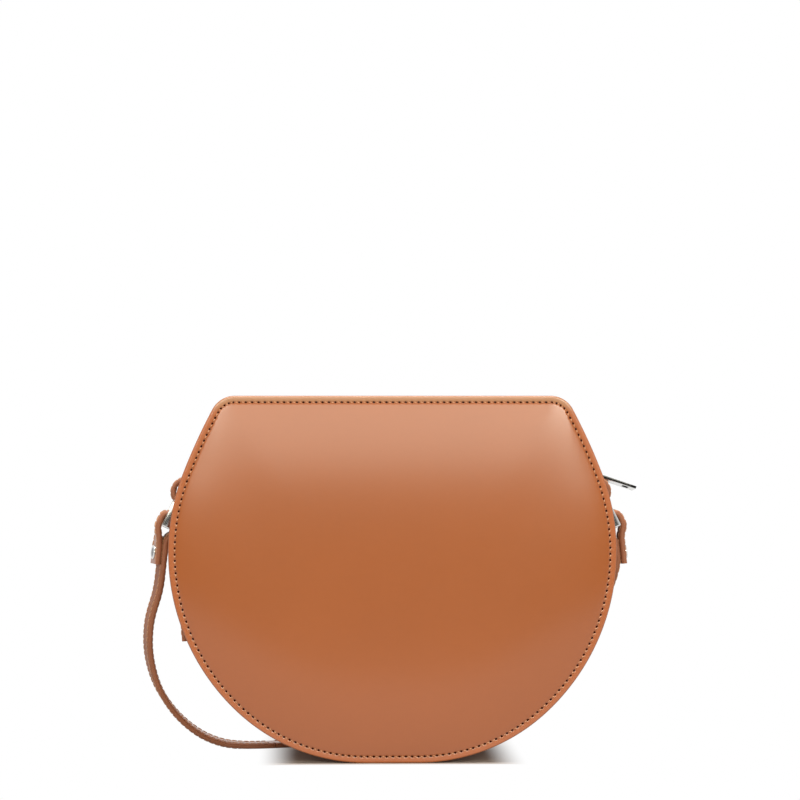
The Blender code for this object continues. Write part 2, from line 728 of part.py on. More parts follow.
def make_slider():
    """The slider's upper shell with the bridge that carries the puller, and its lower shell."""
    half_length = SLIDER_LENGTH / 2
    half_width = SLIDER_WIDTH / 2
    wall_inner = half_width - SLIDER_WALL
    net = bmesh.new()
    box_into(net, (-half_length, -half_width, TAPE_TOP + SLIDER_CLEARANCE),
             (half_length, half_width, TOP_HIGH))
    shell = new_mesh_object("zip_slider", net)
    shell.matrix_world = SLIDER_FRAME
    channel = box_object("slider_channel", (-SLIDER_LENGTH, -wall_inner, -CHAIN_HEIGHT),
                         (SLIDER_LENGTH, wall_inner, TOP_LOW), SLIDER_FRAME)
    combine(shell, channel, "DIFFERENCE")
    bridge = box_object("slider_bridge",
                        (-BRIDGE_LENGTH / 2, -BRIDGE_WIDTH / 2, (TOP_LOW + TOP_HIGH) / 2),
                        (BRIDGE_LENGTH / 2, BRIDGE_WIDTH / 2,
                         TOP_HIGH + BRIDGE_OPENING + BRIDGE_BAR), SLIDER_FRAME)
    combine(shell, bridge, "UNION")
    window = box_object("slider_window", (BRIDGE_BAR - BRIDGE_LENGTH / 2, -BRIDGE_WIDTH, TOP_HIGH),
                        (BRIDGE_LENGTH / 2 - BRIDGE_BAR, BRIDGE_WIDTH,
                         TOP_HIGH + BRIDGE_OPENING), SLIDER_FRAME)
    combine(shell, window, "DIFFERENCE")
    place(shell, SILVER, 0.18, 1.0)
    tape_under = TAPE_TOP - TAPE_CLOTH
    under = box_object("zip_slider_underplate",
                       (-half_length, -half_width, UNDER_HIGH - SLIDER_PLATE),
                       (half_length, half_width, tape_under - SLIDER_CLEARANCE), SLIDER_FRAME)
    groove = box_object("underplate_groove", (-SLIDER_LENGTH, -wall_inner, UNDER_HIGH),
                        (SLIDER_LENGTH, wall_inner, CHAIN_HEIGHT), SLIDER_FRAME)
    combine(under, groove, "DIFFERENCE")
    place(under, SILVER, 0.18, 1.0)


LOOP_CENTRE = Vector((rim_at(side_station(LOOP_HEIGHT))[0] - TAB_LOOP_INSIDE, 0.0, LOOP_HEIGHT))
PULLER_PIVOT = SLIDER_FRAME @ Vector((PIVOT_ALONG_BRIDGE, 0.0, TOP_HIGH + BRIDGE_OPENING / 2))


def puller_direction():
    """Rest direction of the puller: it lies on the tab's loop, one seat gap above it."""
    reach = LOOP_CENTRE - PULLER_PIVOT
    reach.y = 0.0
    clear = TAB_LOOP_RADIUS + TAB_LEATHER / 2 + SEAT_GAP + PULLER_PLATE / 2
    angle = math.atan2(reach.z, reach.x) + math.asin(min(1.0, clear / reach.length))
    return Vector((math.cos(angle), 0.0, math.sin(angle)))


def hinge_frame(pivot, along):
    """Frame at a pivot: its X along a direction in the XZ plane, its Y across the bag."""
    across = Vector((0.0, 1.0, 0.0))
    turn = Matrix((along, across, along.cross(across))).transposed().to_4x4()
    return Matrix.Translation(pivot) @ turn


def make_puller():
    """The flat puller: a pin through the bridge, two cheeks, and a bar with a window at its tip."""
    half = PULLER_WIDTH / 2
    outer = rounded_rectangle((-PULLER_PIN / 2, -half), (PULLER_LENGTH, half), PULLER_CORNER, 2)
    eye = rounded_rectangle((PULLER_PIN / 2, -PULLER_EYE_WIDTH / 2),
                            (PULLER_EYE, PULLER_EYE_WIDTH / 2), PULLER_WINDOW_CORNER, 1)
    slot_high = PULLER_LENGTH - PULLER_SLOT_END
    slot = rounded_rectangle((slot_high - PULLER_SLOT, -PULLER_SLOT_WIDTH / 2),
                             (slot_high, PULLER_SLOT_WIDTH / 2), PULLER_WINDOW_CORNER, 1)
    puller = plate("zip_puller", [outer, eye, slot], PULLER_PLATE)
    puller.matrix_world = hinge_frame(PULLER_PIVOT, puller_direction())
    place(puller, SILVER, 0.16, 1.0)


# Side tabs, rings, strap and rivets

GUSSET_WIDEST = BAG_WIDTH / 2 - RIM_DEPTH
TAB_MIDDLE = GUSSET_WIDEST + SEAT_GAP + TAB_LEATHER / 2
RING_PIVOT = Vector((LOOP_CENTRE.x + RING_PIVOT_OUT, MID_DEPTH, LOOP_CENTRE.z - RING_PIVOT_DOWN))
RING_DIRECTION = Vector((math.cos(RING_HANG), 0.0, -math.sin(RING_HANG)))
RING_END = RING_PIVOT + RING_DIRECTION * RING_LENGTH


def tab_path(straight):
    """Middle line of a tab on the right: up the side, round the loop, down against the gusset.

    Its tail hangs straight down, or follows the gusset.
    """
    neck_out = TAB_NECK_RADIUS * (1 - math.cos(TAB_NECK_TURN))
    neck_up = TAB_NECK_RADIUS * math.sin(TAB_NECK_TURN)
    loop_start = Vector((LOOP_CENTRE.x + TAB_LOOP_RADIUS * math.cos(TAB_NECK_TURN),
                         LOOP_CENTRE.z - TAB_LOOP_RADIUS * math.sin(TAB_NECK_TURN)))
    slack = loop_start.x - neck_out - TAB_MIDDLE
    neck_line = slack / math.sin(TAB_NECK_TURN)
    neck_z = loop_start.y - neck_up - slack / math.tan(TAB_NECK_TURN)
    widest_z = min(SIDE_CENTRE_Z, neck_z)
    down = math.pi + math.acos((LOOP_CENTRE.z - SIDE_CENTRE_Z) / SIDE_RADIUS)
    moves = [("line", neck_z - widest_z),
             ("arc", TAB_NECK_RADIUS, -TAB_NECK_TURN),
             ("line", neck_line),
             ("arc", TAB_LOOP_RADIUS, math.pi / 2 + TAB_NECK_TURN),
             ("arc", TAB_FOLD_RADIUS, down - math.pi)]
    path = walk((TAB_MIDDLE, widest_z), math.pi / 2, moves)
    depth = RIM_DEPTH - SEAT_GAP - TAB_LEATHER / 2
    fold_end = side_station(path[-1][1])
    back_leg = [rim_at(fold_end - TAB_BACK_LEG * i / TAB_LEG_STEPS, depth)[:2]
                for i in range(1, TAB_LEG_STEPS + 1)]
    if straight:
        tail = [(TAB_MIDDLE, TAB_BOTTOM)]
    else:
        tail = [rim_at(station, depth)[:2]
                for station in rim_stations(side_station(TAB_BOTTOM), side_station(widest_z))]
        tail.pop()
    return tail + path + back_leg


def make_tabs():
    """The tab on each side: a strip folded into a loop that holds the ring."""
    for side, path in (("right", tab_path(False)), ("left", mirrored(tab_path(True)))):
        tab = ribbon("ring_tab_" + side, flat_stations(path, MID_DEPTH), TAB_WIDTH, TAB_LEATHER)
        place(tab, LEATHER, 0.42)


def make_rings():
    """A flat rectangular ring on each side, hanging in its tab."""
    half = RING_INNER_WIDTH / 2
    outer = rounded_rectangle((-RING_BAR / 2, -half - RING_BAR),
                              (RING_LENGTH + RING_BAR / 2, half + RING_BAR), RING_CORNER, 3)
    inner = rounded_rectangle((RING_BAR / 2, -half), (RING_LENGTH - RING_BAR / 2, half),
                              RING_CORNER / 2, 2)
    for side, sign in (("right", 1.0), ("left", -1.0)):
        ring = plate("ring_" + side, [outer, inner], RING_THICK, RING_EDGE_ROUND)
        pivot = Vector((sign * RING_PIVOT.x, RING_PIVOT.y, RING_PIVOT.z))
        along = Vector((sign * RING_DIRECTION.x, 0.0, RING_DIRECTION.z))
        ring.matrix_world = hinge_frame(pivot, along)
        place(ring, SILVER, 0.15, 1.0)


def strap_end_moves():
    """The strap's folded end on the right, from its tip up over the ring and down to the rivet."""
    lean = math.pi / 2 + STRAP_LEAN
    corner = (RING_END + RING_DIRECTION * (RING_BAR / 2)
              + Vector((math.sin(RING_HANG), 0.0, math.cos(RING_HANG))) * (RING_THICK / 2))
    middle = (lean + STRAP_OVER_RING) / 2
    off = STRAP_LEATHER / 2 + STRAP_LEG_GAP
    shift = STRAP_CORNER_RADIUS - off
    centre = Vector((corner.x - shift * math.sin(middle), corner.z + shift * math.cos(middle)))
    bend = Vector((centre.x + STRAP_CORNER_RADIUS * math.sin(lean),
                   centre.y - STRAP_CORNER_RADIUS * math.cos(lean)))
    tip_z = RING_END.z - STRAP_END_BELOW_RING
    leg = (bend.y - tip_z) / math.sin(lean)
    tip = (bend.x - leg * math.cos(lean), tip_z)
    spacing = STRAP_LEATHER + STRAP_LEG_GAP
    drop = 3 * math.pi / 2
    out = drop + STRAP_NECK_TURN
    home = drop + STRAP_LEAN
    moves = [("line", leg),
             ("arc", STRAP_CORNER_RADIUS, STRAP_OVER_RING - lean),
             ("line", STRAP_RISE),
             ("arc", STRAP_FOLD_RADIUS, drop - STRAP_OVER_RING),
             ("line", STRAP_THROUGH_RING),
             ("arc", STRAP_NECK_RADIUS, STRAP_NECK_TURN)]
    x, z = walk(tip, lean, moves)[-1]
    last = ("arc", STRAP_NECK_RADIUS, home - out)
    end_x, end_z = walk((0.0, 0.0), out, [last])[-1]
    across = Vector((math.sin(lean), -math.cos(lean)))
    gap_now = (Vector(tip) - Vector((x + end_x, z + end_z))).dot(across) - spacing
    slant = gap_now / Vector((math.cos(out), math.sin(out))).dot(across)
    return tip, lean, moves + [("line", slant), last, ("line", STRAP_SEAT)]


STRAP_TIP, STRAP_TIP_HEADING, STRAP_END_MOVES = strap_end_moves()
STRAP_END = walk(STRAP_TIP, STRAP_TIP_HEADING, STRAP_END_MOVES, math.radians(20.0))
FLOOR = STRAP_FLOOR_GAP + STRAP_LEATHER / 2
LANE = STRAP_WIDTH + STRAP_LANE_GAP
FIRST_LANE = BACK_PANEL + PANEL_INNER + SEAT_GAP + STRAP_LANE_GAP + STRAP_WIDTH / 2


def smooth(share):
    """Eases from 0 to 1."""
    share = max(0.0, min(1.0, share))
    return share * share * (3 - 2 * share)


def coil_points():
    """The spare length behind the bag: upright turns side by side, each a lane nearer the panel."""
    points = []
    total = STRAP_COIL_TURNS * STRAP_COIL_STEPS
    for i in range(total + 1):
        turn = i / STRAP_COIL_STEPS
        angle = 2 * math.pi * turn
        whole = math.floor(turn)
        lane = STRAP_COIL_TURNS - whole - smooth((turn - whole - COIL_SHIFT_START) / COIL_SHIFT)
        points.append(Vector((STRAP_COIL_RADIUS * math.sin(angle), FIRST_LANE + LANE * lane,
                              FLOOR + STRAP_COIL_RADIUS * (1 - math.cos(angle)))))
    return points


def strap_route():
    """Points of the strap between its folded ends, chosen by hand outside the coil.

    Each is (out from the bag's widest point or the middle, back, share of the ends' height).
    """
    half = BAG_WIDTH / 2
    top = STRAP_END[-1][1]
    far_lane = FIRST_LANE + LANE * STRAP_COIL_TURNS
    left = [(half + 7.0 * MM, MID_DEPTH + 2 * MM, 0.824),
            (half + 10.6 * MM, MID_DEPTH + 7 * MM, 0.654),
            (half + 10.8 * MM, MID_DEPTH + 14 * MM, 0.492),
            (half + 7.0 * MM, MID_DEPTH + 21 * MM, 0.330),
            (half - 1.0 * MM, MID_DEPTH + 28 * MM, 0.185),
            (half - 11.5 * MM, MID_DEPTH + 33 * MM, 0.078),
            (half - 22.5 * MM, FIRST_LANE - 1 * MM, 0.019),
            (half - 34.0 * MM, FIRST_LANE, 0.0),
            (half - 48.0 * MM, FIRST_LANE + 0.15 * LANE, 0.0),
            (half - 62.0 * MM, FIRST_LANE + 0.75 * LANE, 0.0),
            (half - 76.0 * MM, FIRST_LANE + 1.5 * LANE, 0.0),
            (half - 89.0 * MM, far_lane, 0.0)]
    right = [(14.0 * MM, FIRST_LANE, 0.0),
             (28.0 * MM, FIRST_LANE, 0.009),
             (44.0 * MM, FIRST_LANE, 0.057),
             (60.0 * MM, FIRST_LANE, 0.147),
             (half - 30.0 * MM, FIRST_LANE, 0.271),
             (half - 19.0 * MM, FIRST_LANE, 0.400),
             (half - 10.2 * MM, FIRST_LANE - 1 * MM, 0.524),
             (half - 4.6 * MM, FIRST_LANE - 8 * MM, 0.632),
             (half - 1.2 * MM, FIRST_LANE - 18 * MM, 0.735),
             (half + 1.3 * MM, FIRST_LANE - 28 * MM, 0.832),
             (half + 3.6 * MM, MID_DEPTH + 1 * MM, 0.923)]
    left = [Vector((-x, y, FLOOR + share * (top - FLOOR))) for x, y, share in left]
    right = [Vector((x, y, FLOOR + share * (top - FLOOR))) for x, y, share in right]
    return left + coil_points() + right


def smoothed(points, spacing):
    """Points about one spacing apart on the Catmull-Rom curve through points."""
    curve = []
    for i in range(len(points) - 1):
        before = points[max(i - 1, 0)]
        a, b = points[i], points[i + 1]
        after = points[min(i + 2, len(points) - 1)]
        steps = max(1, round((b - a).length / spacing))
        for k in range(steps):
            t = k / steps
            curve.append(0.5 * (2 * a + (b - before) * t
                                + (2 * before - 5 * a + 4 * b - after) * t ** 2
                                + (3 * a - before - 3 * b + after) * t ** 3))
    curve.append(points[-1])
    return curve


def strap_stations():
    """Stations of the whole strap, from the left folded tip to the right one."""
    end = [Vector((x, MID_DEPTH, z)) for x, z in STRAP_END]
    left_end = [Vector((-p.x, p.y, p.z)) for p in end]
    middle = smoothed([left_end[-1]] + strap_route() + [end[-1]], STRAP_SPACING)
    line = left_end[:-1] + middle + list(reversed(end[:-1]))
    stations = []
    last = len(line) - 1
    for i, point in enumerate(line):
        run = (line[min(i + 1, last)] - line[max(i - 1, 0)]).normalized()
        level = Vector((run.x, 0.0, run.z)).normalized()
        normal = Vector((-level.z, 0.0, level.x))
        stations.append((point, normal, Vector((0.0, 1.0, 0.0))))
    return stations


def rivet_frames():
    """Frame of each rivet on the outer leg's middle: its Z outwards through the leather."""
    lean_out = Vector((math.cos(STRAP_LEAN), 0.0, math.sin(STRAP_LEAN)))
    rise = (RING_END.z - RIVET_BELOW_RING - STRAP_TIP[1]) / math.cos(STRAP_LEAN)
    middle = Vector((STRAP_TIP[0] - rise * math.sin(STRAP_LEAN), MID_DEPTH,
                     STRAP_TIP[1] + rise * math.cos(STRAP_LEAN)))
    frames = {}
    for side, sign in (("right", 1.0), ("left", -1.0)):
        out = Vector((sign * lean_out.x, 0.0, lean_out.z))
        across = Vector((0.0, 1.0, 0.0))
        turn = Matrix((across.cross(out), across, out)).transposed().to_4x4()
        at = Vector((sign * middle.x, middle.y, middle.z))
        frames[side] = Matrix.Translation(at) @ turn
    return frames


RIVETS = rivet_frames()


def turned(name, profile, frame, steps=20):
    """A solid turned about its own Z, from an (r, z) profile that runs down its outer side."""
    net = bmesh.new()
    verts = [net.verts.new((r, 0.0, z)) for r, z in profile]
    for a, b in zip(verts, verts[1:]):
        net.edges.new((a, b))
    thing = new_mesh_object(name, net)
    spin = thing.modifiers.new("turn", "SCREW")
    spin.steps = steps
    spin.render_steps = steps
    spin.use_merge_vertices = True
    spin.merge_threshold = 0.00001
    thing.matrix_world = frame
    return thing


def make_strap():
    """The shoulder strap in one piece, with a rivet hole through both legs of each end."""
    strap = ribbon("shoulder_strap", strap_stations(), STRAP_WIDTH, STRAP_LEATHER)
    for side, frame in RIVETS.items():
        reach = 2 * STRAP_LEATHER
        profile = [(0.0, reach), (RIVET_HOLE / 2, reach), (RIVET_HOLE / 2, -2 * reach),
                   (0.0, -2 * reach)]
        combine(strap, turned("rivet_hole_" + side, profile, frame, 16), "DIFFERENCE")
    place(strap, LEATHER, 0.42)


def make_rivets():
    """A cap on the outside of each end, and a post with its own head from the inside."""
    face = STRAP_LEATHER / 2 + SEAT_GAP
    back = -STRAP_LEATHER / 2 - STRAP_LEG_GAP - STRAP_LEATHER - SEAT_GAP
    radius = RIVET_CAP / 2
    rim = RIVET_CAP_HEIGHT * 0.35
    for side, frame in RIVETS.items():
        cap = [(0.0, face + RIVET_CAP_HEIGHT), (radius * 0.6, face + RIVET_CAP_HEIGHT * 0.85),
               (radius * 0.9, face + RIVET_CAP_HEIGHT * 0.55), (radius, face + rim),
               (radius, face), (0.0, face)]
        place(turned("strap_rivet_cap_" + side, cap, frame), SILVER, 0.15, 1.0)
        post = RIVET_POST / 2
        head = [(0.0, face - SEAT_GAP), (post, face - SEAT_GAP), (post, back), (radius, back),
                (radius, back - rim), (radius * 0.85, back - RIVET_CAP_HEIGHT * 0.6),
                (radius * 0.5, back - RIVET_CAP_HEIGHT * 0.8), (0.0, back - RIVET_CAP_HEIGHT * 0.85)]
        place(turned("strap_rivet_post_" + side, head, frame), SILVER, 0.2, 1.0)


def shade():
    """Shades the round pieces smooth, with sharp edges kept."""
    for thing in BAG.objects:
        if thing.type == "MESH":
            thing.data.shade_smooth()
            thing.data.set_sharp_from_angle(angle=math.radians(35.0))


def main():
    """Makes every piece of the bag."""
    make_panels()
    make_pocket()
    make_seam_threads()
    make_gussets()
    make_gusset_layers()
    make_zip_tapes()
    make_teeth()
    make_stops()
    make_slider()
    make_puller()
    make_tabs()
    make_rings()
    make_strap()
    make_rivets()
    shade()


main()
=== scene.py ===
"""Half moon shoulder bag: its leather, seams, zip, rings and strap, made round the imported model.

Metres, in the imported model's frame. Seen from the front, +X is right, +Y is back and +Z is up.
"""

import json
import math

import bmesh
import bpy
import numpy as np
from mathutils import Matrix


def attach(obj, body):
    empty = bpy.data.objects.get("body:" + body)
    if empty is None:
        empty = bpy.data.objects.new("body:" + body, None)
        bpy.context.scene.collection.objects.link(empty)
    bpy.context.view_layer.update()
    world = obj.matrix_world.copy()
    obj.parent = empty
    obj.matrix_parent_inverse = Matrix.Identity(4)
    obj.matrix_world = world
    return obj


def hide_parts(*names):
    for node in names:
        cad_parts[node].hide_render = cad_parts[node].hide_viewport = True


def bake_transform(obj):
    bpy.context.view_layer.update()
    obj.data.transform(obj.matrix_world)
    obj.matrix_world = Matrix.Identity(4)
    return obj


bl_info = {
    "name": "Half moon shoulder bag",
    "version": (1, 0, 0),
    "blender": (4, 5, 0),
    "location": "View3D > Sidebar > Half moon bag",
    "description": "Makes the leather, seams, zip, rings and strap of a half moon bag",
    "category": "Add Mesh",
}

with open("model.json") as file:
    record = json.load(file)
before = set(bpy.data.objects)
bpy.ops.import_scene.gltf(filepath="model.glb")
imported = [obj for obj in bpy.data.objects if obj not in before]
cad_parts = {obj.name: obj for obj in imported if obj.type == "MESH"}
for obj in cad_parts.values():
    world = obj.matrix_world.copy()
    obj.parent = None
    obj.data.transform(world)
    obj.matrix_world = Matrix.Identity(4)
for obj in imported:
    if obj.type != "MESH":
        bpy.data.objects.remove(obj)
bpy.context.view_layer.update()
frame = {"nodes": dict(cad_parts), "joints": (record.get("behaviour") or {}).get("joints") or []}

MM = 0.001
RIGHT, LEFT = 1.0, -1.0

# Outline of both panels, as tangent spans from the middle of the foot up to the middle of the top
BAG_WIDTH = 210.2 * MM
BAG_HEIGHT = 172.0 * MM
FOOT_FLAT = 24.0 * MM
FOOT_RADIUS = 88.8 * MM
FOOT_TURN = math.radians(43.2)
SHOULDER_DROP = 36.4 * MM
SHOULDER_RADIUS = 270.0 * MM
CORNER_RADIUS = 12.0 * MM

# Layers of the body
MID_DEPTH = 29.0 * MM
BACK_PANEL = 58.0 * MM
PANEL_INNER = 1.0 * MM
FLANGE_FACE = 2.5 * MM
GUSSET_LEATHER = 1.2 * MM
GUSSET_BEND = 0.8 * MM
RIM_SETBACK = 0.3 * MM
RIM_DEPTH = 7.0 * MM
SEAT_GAP = 0.3 * MM
SEAM_INSET = 3.1 * MM
CORE_INSET = 8.0 * MM

# Zip
JOINT_ABOVE_LOOP = 5.2 * MM
TAPE_OVERLAP = 9.5 * MM
ZIP_OPENING = 13.0 * MM
TAPE_WIDTH = 14.0 * MM
TAPE_CLOTH = 0.6 * MM
TAPE_INSET = 8.5 * MM
CHAIN_WIDTH = 5.4 * MM
TOOTH_PITCH = 3.0 * MM
STOP_LENGTH = 1.2 * MM
STOP_CLEARANCE = 0.3 * MM

# Slider and puller
SLIDER_LENGTH = 7.4 * MM
SLIDER_WIDTH = 8.4 * MM
SLIDER_ABOVE_JOINT = 7.5 * MM
SLIDER_TOP = 1.5 * MM
SLIDER_ROOF = -0.1 * MM
SLIDER_SKIRT = -1.0 * MM
UNDER_TOP = -3.5 * MM
UNDER_BOTTOM = -5.1 * MM
UNDER_SKIRT = -2.6 * MM
BRIDGE_LENGTH = 6.4 * MM
BRIDGE_WIDTH = 1.8 * MM
BRIDGE_BAR = 0.8 * MM
BRIDGE_OPENING = 1.9 * MM
PIVOT_ALONG_BRIDGE = 1.6 * MM
PULLER_LENGTH = 25.2 * MM
PULLER_WIDTH = 6.0 * MM
PULLER_PLATE = 0.8 * MM
PULLER_PIN = 1.1 * MM
PULLER_EYE = 5.6 * MM
PULLER_EYE_WIDTH = 2.5 * MM
PULLER_SLOT_END = 3.2 * MM
PULLER_SLOT = 3.0 * MM
PULLER_SLOT_WIDTH = 3.2 * MM

# The puller as it lies and is drawn, against its solid
PULLER_ROLL = math.radians(-11.5)
PULLER_YAW = math.radians(7.0)
PULLER_LIFT = -0.35 * MM
PULLER_SEEN = 1.2 * MM
PULLER_BEVEL = 0.1 * MM
PLATE_FACE = 0.6  # least upright part of a face's normal on the plate's flat sides

# Side tabs
TAB_LEATHER = 2.2 * MM
TAB_WIDTH = 12.0 * MM
TAB_BOTTOM = 55.4 * MM
TAB_LOOP_RADIUS = 5.9 * MM
TAB_LOOP_ABOVE_WIDEST = 27.5 * MM
TAB_LOOP_INSIDE = 3.5 * MM
TAB_NECK_TURN = math.radians(38.0)
TAB_NECK_RADIUS = 12.0 * MM
TAB_FOLD_RADIUS = 2.2 * MM
TAB_BACK_LEG = 10.0 * MM
TAB_TAIL_BEND = 1.1 * MM

# Rings
RING_LENGTH = 17.4 * MM
RING_HANG = math.radians(63.4)
RING_BAR = 1.8 * MM
RING_THICK = 4.0 * MM
RING_INNER_WIDTH = 13.4 * MM
RING_CORNER = 0.9 * MM
RING_PIVOT_OUT = 1.8 * MM
RING_PIVOT_DOWN = 0.4 * MM

# Shoulder strap
STRAP_WIDTH = 12.0 * MM
STRAP_LEATHER = 2.7 * MM
STRAP_END_BELOW_RING = 18.3 * MM
STRAP_LEAN = math.radians(6.0)
STRAP_LEG_GAP = 0.15 * MM
STRAP_OVER_RING = math.radians(117.0)
STRAP_CORNER_RADIUS = 3.5 * MM
STRAP_RISE = 3.6 * MM
STRAP_FOLD_RADIUS = 2.85 * MM
STRAP_THROUGH_RING = 4.0 * MM
STRAP_NECK_RADIUS = 4.0 * MM
STRAP_NECK_TURN = math.radians(50.0)
STRAP_SEAT = 7.2 * MM
STRAP_FLOOR = 1.35 * MM
STRAP_LANE = 12.8 * MM
FIRST_LANE = 66.1 * MM
COIL_RADIUS = 50.0 * MM
COIL_TURNS = 2
COIL_STEPS = 24
COIL_SHIFT = (0.2, 0.8)
STRAP_JOINT_LEFT = 8
STRAP_JOINT_RIGHT = 2
STRAP_SLACK = {LEFT: 0.8 * MM, RIGHT: 1.8 * MM}

# Rivets
RIVET_BELOW_RING = 12.9 * MM
RIVET_CAP = 6.8 * MM
RIVET_CAP_HEIGHT = 1.2 * MM
RIVET_POST = 2.4 * MM

WELD = 0.002 * MM
SHARP = math.radians(38.0)
UP_Y = np.array((0.0, 1.0, 0.0))


# Paths

class Arcs:
    """A path in the XZ plane made of straight and round spans, each (length, bend).

    The heading grows by bend times length. Along a span the point moves by its circle's chord,
    (sin h1 - sin h0) / bend in X and (cos h0 - cos h1) / bend in Z, or straight on without a bend.
    """

    def __init__(self, start, heading, spans):
        lengths = np.array([length for length, bend in spans])
        self.bends = np.array([bend for length, bend in spans])
        self.starts = np.concatenate(([0.0], np.cumsum(lengths)))
        self.headings = heading + np.concatenate(([0.0], np.cumsum(lengths * self.bends)))
        self.length = self.starts[-1]
        x, z = self.chord(self.headings[:-1], self.bends, lengths)
        self.x = start[0] + np.concatenate(([0.0], np.cumsum(x)))
        self.z = start[1] + np.concatenate(([0.0], np.cumsum(z)))

    @staticmethod
    def chord(heading, bend, step):
        """How far a point moves in X and Z along a span."""
        turned = heading + bend * step
        straight = bend == 0.0
        divisor = np.where(straight, 1.0, bend)
        x = np.where(straight, step * np.cos(heading), (np.sin(turned) - np.sin(heading)) / divisor)
        z = np.where(straight, step * np.sin(heading), (np.cos(heading) - np.cos(turned)) / divisor)
        return x, z

    def at(self, along):
        """X, Z and heading at lengths along the path."""
        i = np.clip(np.searchsorted(self.starts, along, side="right") - 1, 0, len(self.bends) - 1)
        step = along - self.starts[i]
        x, z = self.chord(self.headings[i], self.bends[i], step)
        return self.x[i] + x, self.z[i] + z, self.headings[i] + self.bends[i] * step

    def points(self, spacing):
        """Evenly spaced points (x, mid depth, z) from end to end."""
        x, z, _ = self.at(np.linspace(0.0, self.length, max(2, round(self.length / spacing) + 1)))
        return np.stack((x, np.full_like(x, MID_DEPTH), z), axis=-1)


def outline_spans():
    """The right half of the outline as (length, bend) spans, each tangent to its neighbours."""
    half = BAG_WIDTH / 2
    foot_out = FOOT_FLAT / 2 + FOOT_RADIUS * math.sin(FOOT_TURN)
    side_radius = (half - foot_out) / (1 - math.sin(FOOT_TURN))
    widest = FOOT_RADIUS * (1 - math.cos(FOOT_TURN)) + side_radius * math.cos(FOOT_TURN)
    over = math.asin((BAG_HEIGHT - SHOULDER_DROP - widest) / side_radius)
    lean = math.asin((SHOULDER_DROP - CORNER_RADIUS + SHOULDER_RADIUS * math.sin(over))
                     / (SHOULDER_RADIUS - CORNER_RADIUS))
    top_half = (half - side_radius * (1 - math.cos(over))
                - SHOULDER_RADIUS * (math.cos(over) - math.cos(lean))
                - CORNER_RADIUS * math.cos(lean))
    arcs = ((FOOT_RADIUS, FOOT_TURN), (side_radius, math.pi / 2 - FOOT_TURN + over),
            (SHOULDER_RADIUS, lean - over), (CORNER_RADIUS, math.pi / 2 - lean))
    return ([(FOOT_FLAT / 2, 0.0)] + [(radius * turn, 1 / radius) for radius, turn in arcs]
            + [(top_half, 0.0)])


OUTLINE = Arcs((0.0, 0.0), 0.0, outline_spans())
HALF_RIM = OUTLINE.length
SIDE_RADIUS = 1 / OUTLINE.bends[2]
SIDE_CENTRE_Z = OUTLINE.z[2] + SIDE_RADIUS * math.cos(OUTLINE.headings[2])
LOOP_HEIGHT = SIDE_CENTRE_Z + TAB_LOOP_ABOVE_WIDEST
JOINT_HEIGHT = LOOP_HEIGHT + JOINT_ABOVE_LOOP


def rim(station, inset=0.0):
    """X, Z and the outward direction on the rim, a length anticlockwise from the foot's middle."""
    along = np.mod(station, 2 * HALF_RIM)
    side = np.where(along > HALF_RIM, LEFT, RIGHT)
    x, z, heading = OUTLINE.at(np.minimum(along, 2 * HALF_RIM - along))
    out_x, out_z = np.sin(heading), -np.cos(heading)
    return side * (x - inset * out_x), z - inset * out_z, side * out_x, out_z


def side_station(height):
    """Length along the rim at which its right side stands at a height."""
    stations = np.linspace(OUTLINE.starts[2], OUTLINE.starts[4], 20001)
    return float(np.interp(height, OUTLINE.at(stations)[1], stations))


def rim_grid(stations, insets, depths):
    """Grid of points whose columns run round the rim at their own inset and depth."""
    x, z, _, _ = rim(stations[:, None], insets[None, :])
    return np.stack((x, np.broadcast_to(depths, x.shape), z), axis=-1)


def even(start, end, spacing):
    """Evenly spaced lengths from start to end."""
    return np.linspace(start, end, max(2, math.ceil(abs(end - start) / spacing) + 1))


JOINT = side_station(JOINT_HEIGHT)
TAPE_END = side_station(JOINT_HEIGHT - TAPE_OVERLAP)
SLIDER_STATION = side_station(JOINT_HEIGHT + SLIDER_ABOVE_JOINT)
CHAIN_START = SLIDER_STATION - SLIDER_LENGTH / 2
STOP_MIDDLE = CHAIN_START - STOP_CLEARANCE - STOP_LENGTH / 2
ROUND = 2 * HALF_RIM


# Meshes

def run_lengths(points):
    """Length run at each point of a line."""
    steps = np.linalg.norm(np.diff(points, axis=0), axis=1)
    return np.concatenate(([0.0], np.cumsum(steps)))


def pairs(first, second):
    """Two arrays as (u, v)."""
    return np.stack(np.broadcast_arrays(first, second), axis=-1)


def finished(name, mesh, material, slot, body, replaced=(), sharp=SHARP):
    """Makes a mesh an object with its finish, which rides on a body."""
    mesh.shade_smooth()
    mesh.set_sharp_from_angle(angle=sharp)
    mesh.materials.append(material)
    made = bpy.data.objects.new(name, mesh)
    bpy.context.scene.collection.objects.link(made)
    if body:
        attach(made, body)
    if replaced:
        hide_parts(*replaced)
    return made


